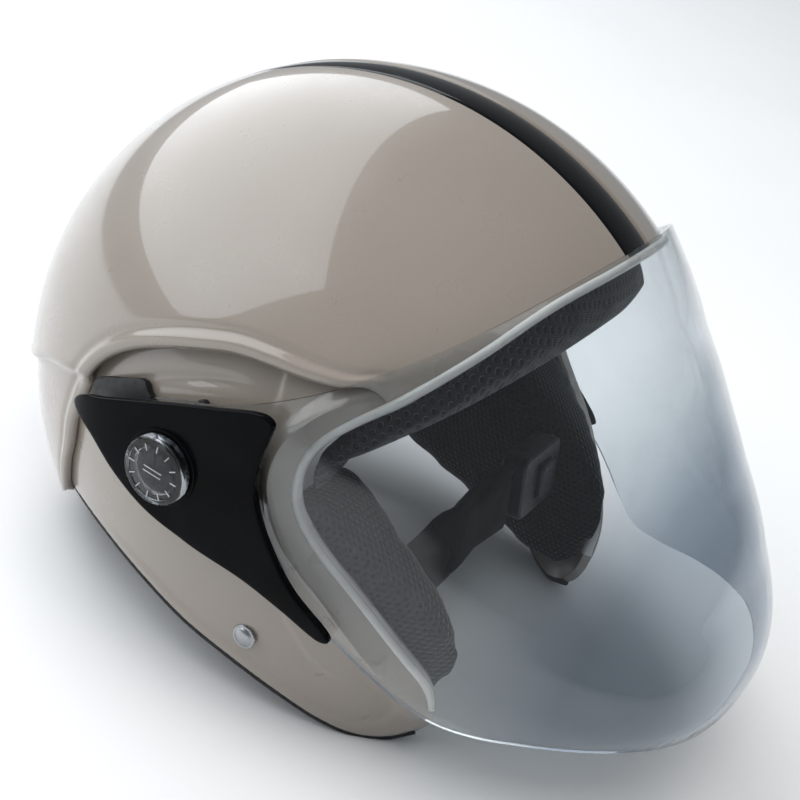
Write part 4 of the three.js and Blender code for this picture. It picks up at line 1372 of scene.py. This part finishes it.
def strap_piece(side, hand):
    """Webbing with rounded edges and two rows of stitching by the rivet."""
    route = strap_route(side)
    path = even(flow3(route, 1.0), 1.2)
    out = level_facing(path)
    bm = bmesh.new()
    section = rounded(10.0, 0.85, 0, power=6, count=36)
    sweep(bm, path, section, out)
    obj = finish_mesh(f"chin_webbing_{hand}", bm, HELMET, "webbing", paint("webbing"), 60,
                      [f"chin_strap_{hand}"])
    mesh = obj.data
    layer = mesh.uv_layers.new(name="lay")
    long = np.concatenate([[0], np.cumsum(np.linalg.norm(np.diff(path, axis=0), axis=1))]) / 1000
    spots = on_table(path)
    for loop in mesh.loops:
        p = np.array(mesh.vertices[loop.vertex_index].co)
        layer.data[loop.index].uv = (long[np.argmin(((spots - p) ** 2).sum(1))], p[2])
    bm = bmesh.new()
    stitch = bpy.context.scene.helmet_settings.webbing_stitch * 1000
    for i in (9, 13):
        for k in range(9):
            for face in (-1, 1):
                spot = path[i] + face * out[i] * 0.85 + np.array((0, 0, -7.2 + stitch * k))
                at = Vector(on_table([spot])[0])
                made = bmesh.ops.create_uvsphere(bm, u_segments=8, v_segments=6, radius=0.00035)["verts"]
                bmesh.ops.scale(bm, verts=made, vec=(1, 1, 2.1))
                bmesh.ops.translate(bm, verts=made, vec=at)
    finish_mesh(f"strap_stitching_{hand}", bm, HELMET, "webbing", paint("webbing"), 60)


def sleeve_piece():
    """Soft cover round the webbing, plump between its bound ends."""
    path = even(flow3(strap_route(-1), 1.0), 2.0)
    path = path[int(SLEEVE_FROM * len(path)):]
    out = level_facing(path)
    bm = bmesh.new()
    sweep(bm, path, rounded(15.0, 2.5, 0, power=3.2, count=48), out)
    obj = finish_mesh("strap_cushion", bm, HELMET, "lining_cloth", paint("lining_cloth"), 60,
                      ["strap_sleeve"])
    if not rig.quick():
        swollen(obj, 0.0012)
    lay_cloth(obj, "box")
    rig.padded(obj, fill=0.8)


def flow3(points, step):
    """A smooth 3-D line through the points."""
    a = flow(points[:, [0, 1]], step)
    long = np.concatenate([[0], np.cumsum(np.linalg.norm(np.diff(points[:, :2], axis=0), axis=1))])
    at = np.concatenate([[0], np.cumsum(np.linalg.norm(np.diff(a, axis=0), axis=1))])
    z = np.interp(at / at[-1] * long[-1], long, points[:, 2])
    return np.column_stack([a, z])


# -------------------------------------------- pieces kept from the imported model
def kept(node, finish, bevel=0.0):
    obj = frame["nodes"][node]
    obj.data.materials.clear()
    obj.data.materials.append(paint(finish))
    if bevel:
        made = obj.modifiers.new("Eased", "BEVEL")
        made.width = bevel
        made.segments = 2
        made.limit_method = "ANGLE"
        made.angle_limit = math.radians(40)


def kept_pieces():
    kept("eps_liner", "liner_foam")
    kept("buckle_housing", "buckle_plastic", 0.0005)
    kept("buckle_tongue", "steel", 0.0003)
    kept("buckle_button", "buckle_plastic", 0.0004)
    for hand in ("right", "left"):
        kept(f"pivot_bush_{hand}", "base_plastic", 0.0003)
        kept(f"pivot_screw_{hand}", "blackened_steel", 0.00025)
        kept(f"pivot_nut_{hand}", "steel", 0.0003)
        kept(f"rivet_washer_{hand}", "steel", 0.0002)


# -------------------------------------------------------------------- stage
def area_light(name, place, aim, size, size_y, power, colour=(1, 1, 1)):
    light = bpy.data.lights.new(name, "AREA")
    light.shape = "RECTANGLE"
    light.size = size
    light.size_y = size_y
    light.energy = power
    light.color = colour
    obj = bpy.data.objects.new(name, light)
    bpy.context.scene.collection.objects.link(obj)
    back = (Vector(place) - Vector(aim)).normalized()
    obj.location = place
    obj.rotation_euler = back.to_track_quat("Z", "Y").to_euler()
    return obj


def floor_piece():
    m = Recipe("pale_floor")
    m.colour(m.ramp(m.noise(2, 3), 0.3, 0.7, 0, 1), "f4f4f5", "f8f8f8")
    m.rough(m.ramp(m.noise(8, 3), 0.3, 0.7, 0.75, 0.85))
    bm = bmesh.new()
    bmesh.ops.create_circle(bm, cap_ends=True, segments=96, radius=6.0)
    mesh = bpy.data.meshes.new("floor")
    bm.to_mesh(mesh)
    bm.free()
    obj = bpy.data.objects.new("floor", mesh)
    bpy.context.scene.collection.objects.link(obj)
    mesh.materials.append(m.material)
    obj.location.z = -0.0005
    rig.stage(obj)


def make_camera():
    azimuth = math.radians(-60.58)
    height = math.radians(24.3)
    roll = math.radians(5.37)
    away = 612.7
    back = Vector((math.sin(azimuth) * math.cos(height), -math.cos(azimuth) * math.cos(height),
                   math.sin(height)))
    right = (-back).cross(Vector((0, 0, 1))).normalized()
    up = right.cross(-back)
    right, up = (math.cos(roll) * right + math.sin(roll) * up,
                 math.cos(roll) * up - math.sin(roll) * right)
    data = bpy.data.cameras.new("camera")
    data.sensor_width = 36
    data.lens = 68.92
    data.shift_x = 0.0474
    data.shift_y = -0.0089
    data.clip_start = 0.01
    data.clip_end = 50
    obj = bpy.data.objects.new("camera", data)
    bpy.context.scene.collection.objects.link(obj)
    axes = [direction_on_table(v) for v in (right, up, back)]
    turn = Matrix(axes).transposed().to_4x4()
    turn.translation = Vector(on_table([away * back])[0])
    obj.matrix_world = turn
    bpy.context.scene.camera = obj


def make_stage():
    floor_piece()
    make_camera()
    world = bpy.data.worlds.new("studio")
    world.use_nodes = True
    world.node_tree.nodes["Background"].inputs[0].default_value = (0.9, 0.95, 1.0, 1)
    world.node_tree.nodes["Background"].inputs[1].default_value = 0.3
    bpy.context.scene.world = world
    bpy.context.scene.view_settings.view_transform = "Standard"
    key = area_light("over_key", (-0.3, -0.25, 1.6), (0, 0, 0.1), 1.5, 1.5,
                     bpy.context.scene.helmet_settings.key_power, (1, 0.99, 0.97))
    key.visible_glossy = False
    area_light("rear_sky", (-0.1, 1.25, 1.05), (0, 0, 0.15), 3.6, 1.7, 42, (0.93, 0.97, 1))


# ------------------------------------------------------------------- add-on
class HelmetSettings(bpy.types.PropertyGroup):
    """Choices for the finished helmet."""

    webbing_stitch: bpy.props.FloatProperty(
        name="Stitch spacing", description="Distance between stitches on the webbing",
        default=0.0018, min=0.001, max=0.004, subtype="DISTANCE", unit="LENGTH")
    cushion_swell: bpy.props.FloatProperty(
        name="Cushion swell", description="Furthest that a cheek cushion's cloth may swell",
        default=0.004, min=0.0, max=0.008, subtype="DISTANCE", unit="LENGTH")
    key_power: bpy.props.FloatProperty(
        name="Key light", description="Power of the light overhead",
        default=15.0, min=1.0, max=80.0, subtype="POWER", unit="POWER")


class HELMET_OT_shell(bpy.types.Operator):
    """Builds the painted dome, its wall and the side panels"""

    bl_idname = "helmet.make_shell"
    bl_label = "Make shell"

    def execute(self, context):
        shell_pieces()
        return {"FINISHED"}


class HELMET_OT_strip(bpy.types.Operator):
    """Builds the gloss strip in the channel"""

    bl_idname = "helmet.make_strip"
    bl_label = "Make centre strip"

    def execute(self, context):
        strip_piece()
        return {"FINISHED"}


class HELMET_OT_edges(bpy.types.Operator):
    """Builds the silver beading and the edge rubber"""

    bl_idname = "helmet.make_edges"
    bl_label = "Make edges"

    def execute(self, context):
        edge_beading()
        edge_rubber_piece()
        return {"FINISHED"}


class HELMET_OT_shield(bpy.types.Operator):
    """Builds the clear lift-up shield"""

    bl_idname = "helmet.make_shield"
    bl_label = "Make shield"

    def execute(self, context):
        visor_piece()
        return {"FINISHED"}


class HELMET_OT_covers(bpy.types.Operator):
    """Builds the gloss covers and clear pivot caps"""

    bl_idname = "helmet.make_covers"
    bl_label = "Make side covers"

    def execute(self, context):
        for side, hand in HANDS:
            plate_piece(side, hand)
            base_piece(side, hand)
            hub_cap_piece(side, hand)
        return {"FINISHED"}


class HELMET_OT_pads(bpy.types.Operator):
    """Builds the cheek, brow, nape and crown padding"""

    bl_idname = "helmet.make_pads"
    bl_label = "Make pads"

    def execute(self, context):
        pads()
        return {"FINISHED"}


class HELMET_OT_straps(bpy.types.Operator):
    """Builds the webbing, its stitching and the rivet heads"""

    bl_idname = "helmet.make_straps"
    bl_label = "Make straps"

    def execute(self, context):
        for side, hand in HANDS:
            strap_piece(side, hand)
            rivet_piece(side, hand)
        sleeve_piece()
        return {"FINISHED"}


class HELMET_OT_kept(bpy.types.Operator):
    """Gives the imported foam, pivots and buckle their finishes"""

    bl_idname = "helmet.finish_kept"
    bl_label = "Finish kept pieces"

    def execute(self, context):
        kept_pieces()
        return {"FINISHED"}


class HELMET_OT_stage(bpy.types.Operator):
    """Adds the floor, the soft lights and the camera"""

    bl_idname = "helmet.make_stage"
    bl_label = "Make stage"

    def execute(self, context):
        make_stage()
        return {"FINISHED"}


STEPS = [
    HELMET_OT_shell,
    HELMET_OT_strip,
    HELMET_OT_edges,
    HELMET_OT_shield,
    HELMET_OT_covers,
    HELMET_OT_pads,
    HELMET_OT_straps,
    HELMET_OT_kept,
    HELMET_OT_stage,
]


class HELMET_PT_panel(bpy.types.Panel):
    """Steps that finish the helmet, in order"""

    bl_label = "Open face helmet"
    bl_space_type = "VIEW_3D"
    bl_region_type = "UI"
    bl_category = "Helmet"

    def draw(self, context):
        settings = context.scene.helmet_settings
        for name in ("webbing_stitch", "cushion_swell", "key_power"):
            self.layout.prop(settings, name)
        for step in STEPS:
            self.layout.operator(step.bl_idname)


CLASSES = [HelmetSettings, *STEPS, HELMET_PT_panel]


def register():
    for item in CLASSES:
        bpy.utils.register_class(item)
    bpy.types.Scene.helmet_settings = bpy.props.PointerProperty(type=HelmetSettings)


def unregister():
    del bpy.types.Scene.helmet_settings
    for item in reversed(CLASSES):
        bpy.utils.unregister_class(item)


def main():
    size = {"cad": [list(corner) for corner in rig.bounds()]}
    register()
    for step in STEPS:
        group, name = step.bl_idname.split(".")
        getattr(getattr(bpy.ops, group), name)()
    size["visual"] = [list(corner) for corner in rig.bounds()]
    with open("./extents.json", "w") as file:
        json.dump(size, file)


if __name__ == "__main__":
    main()
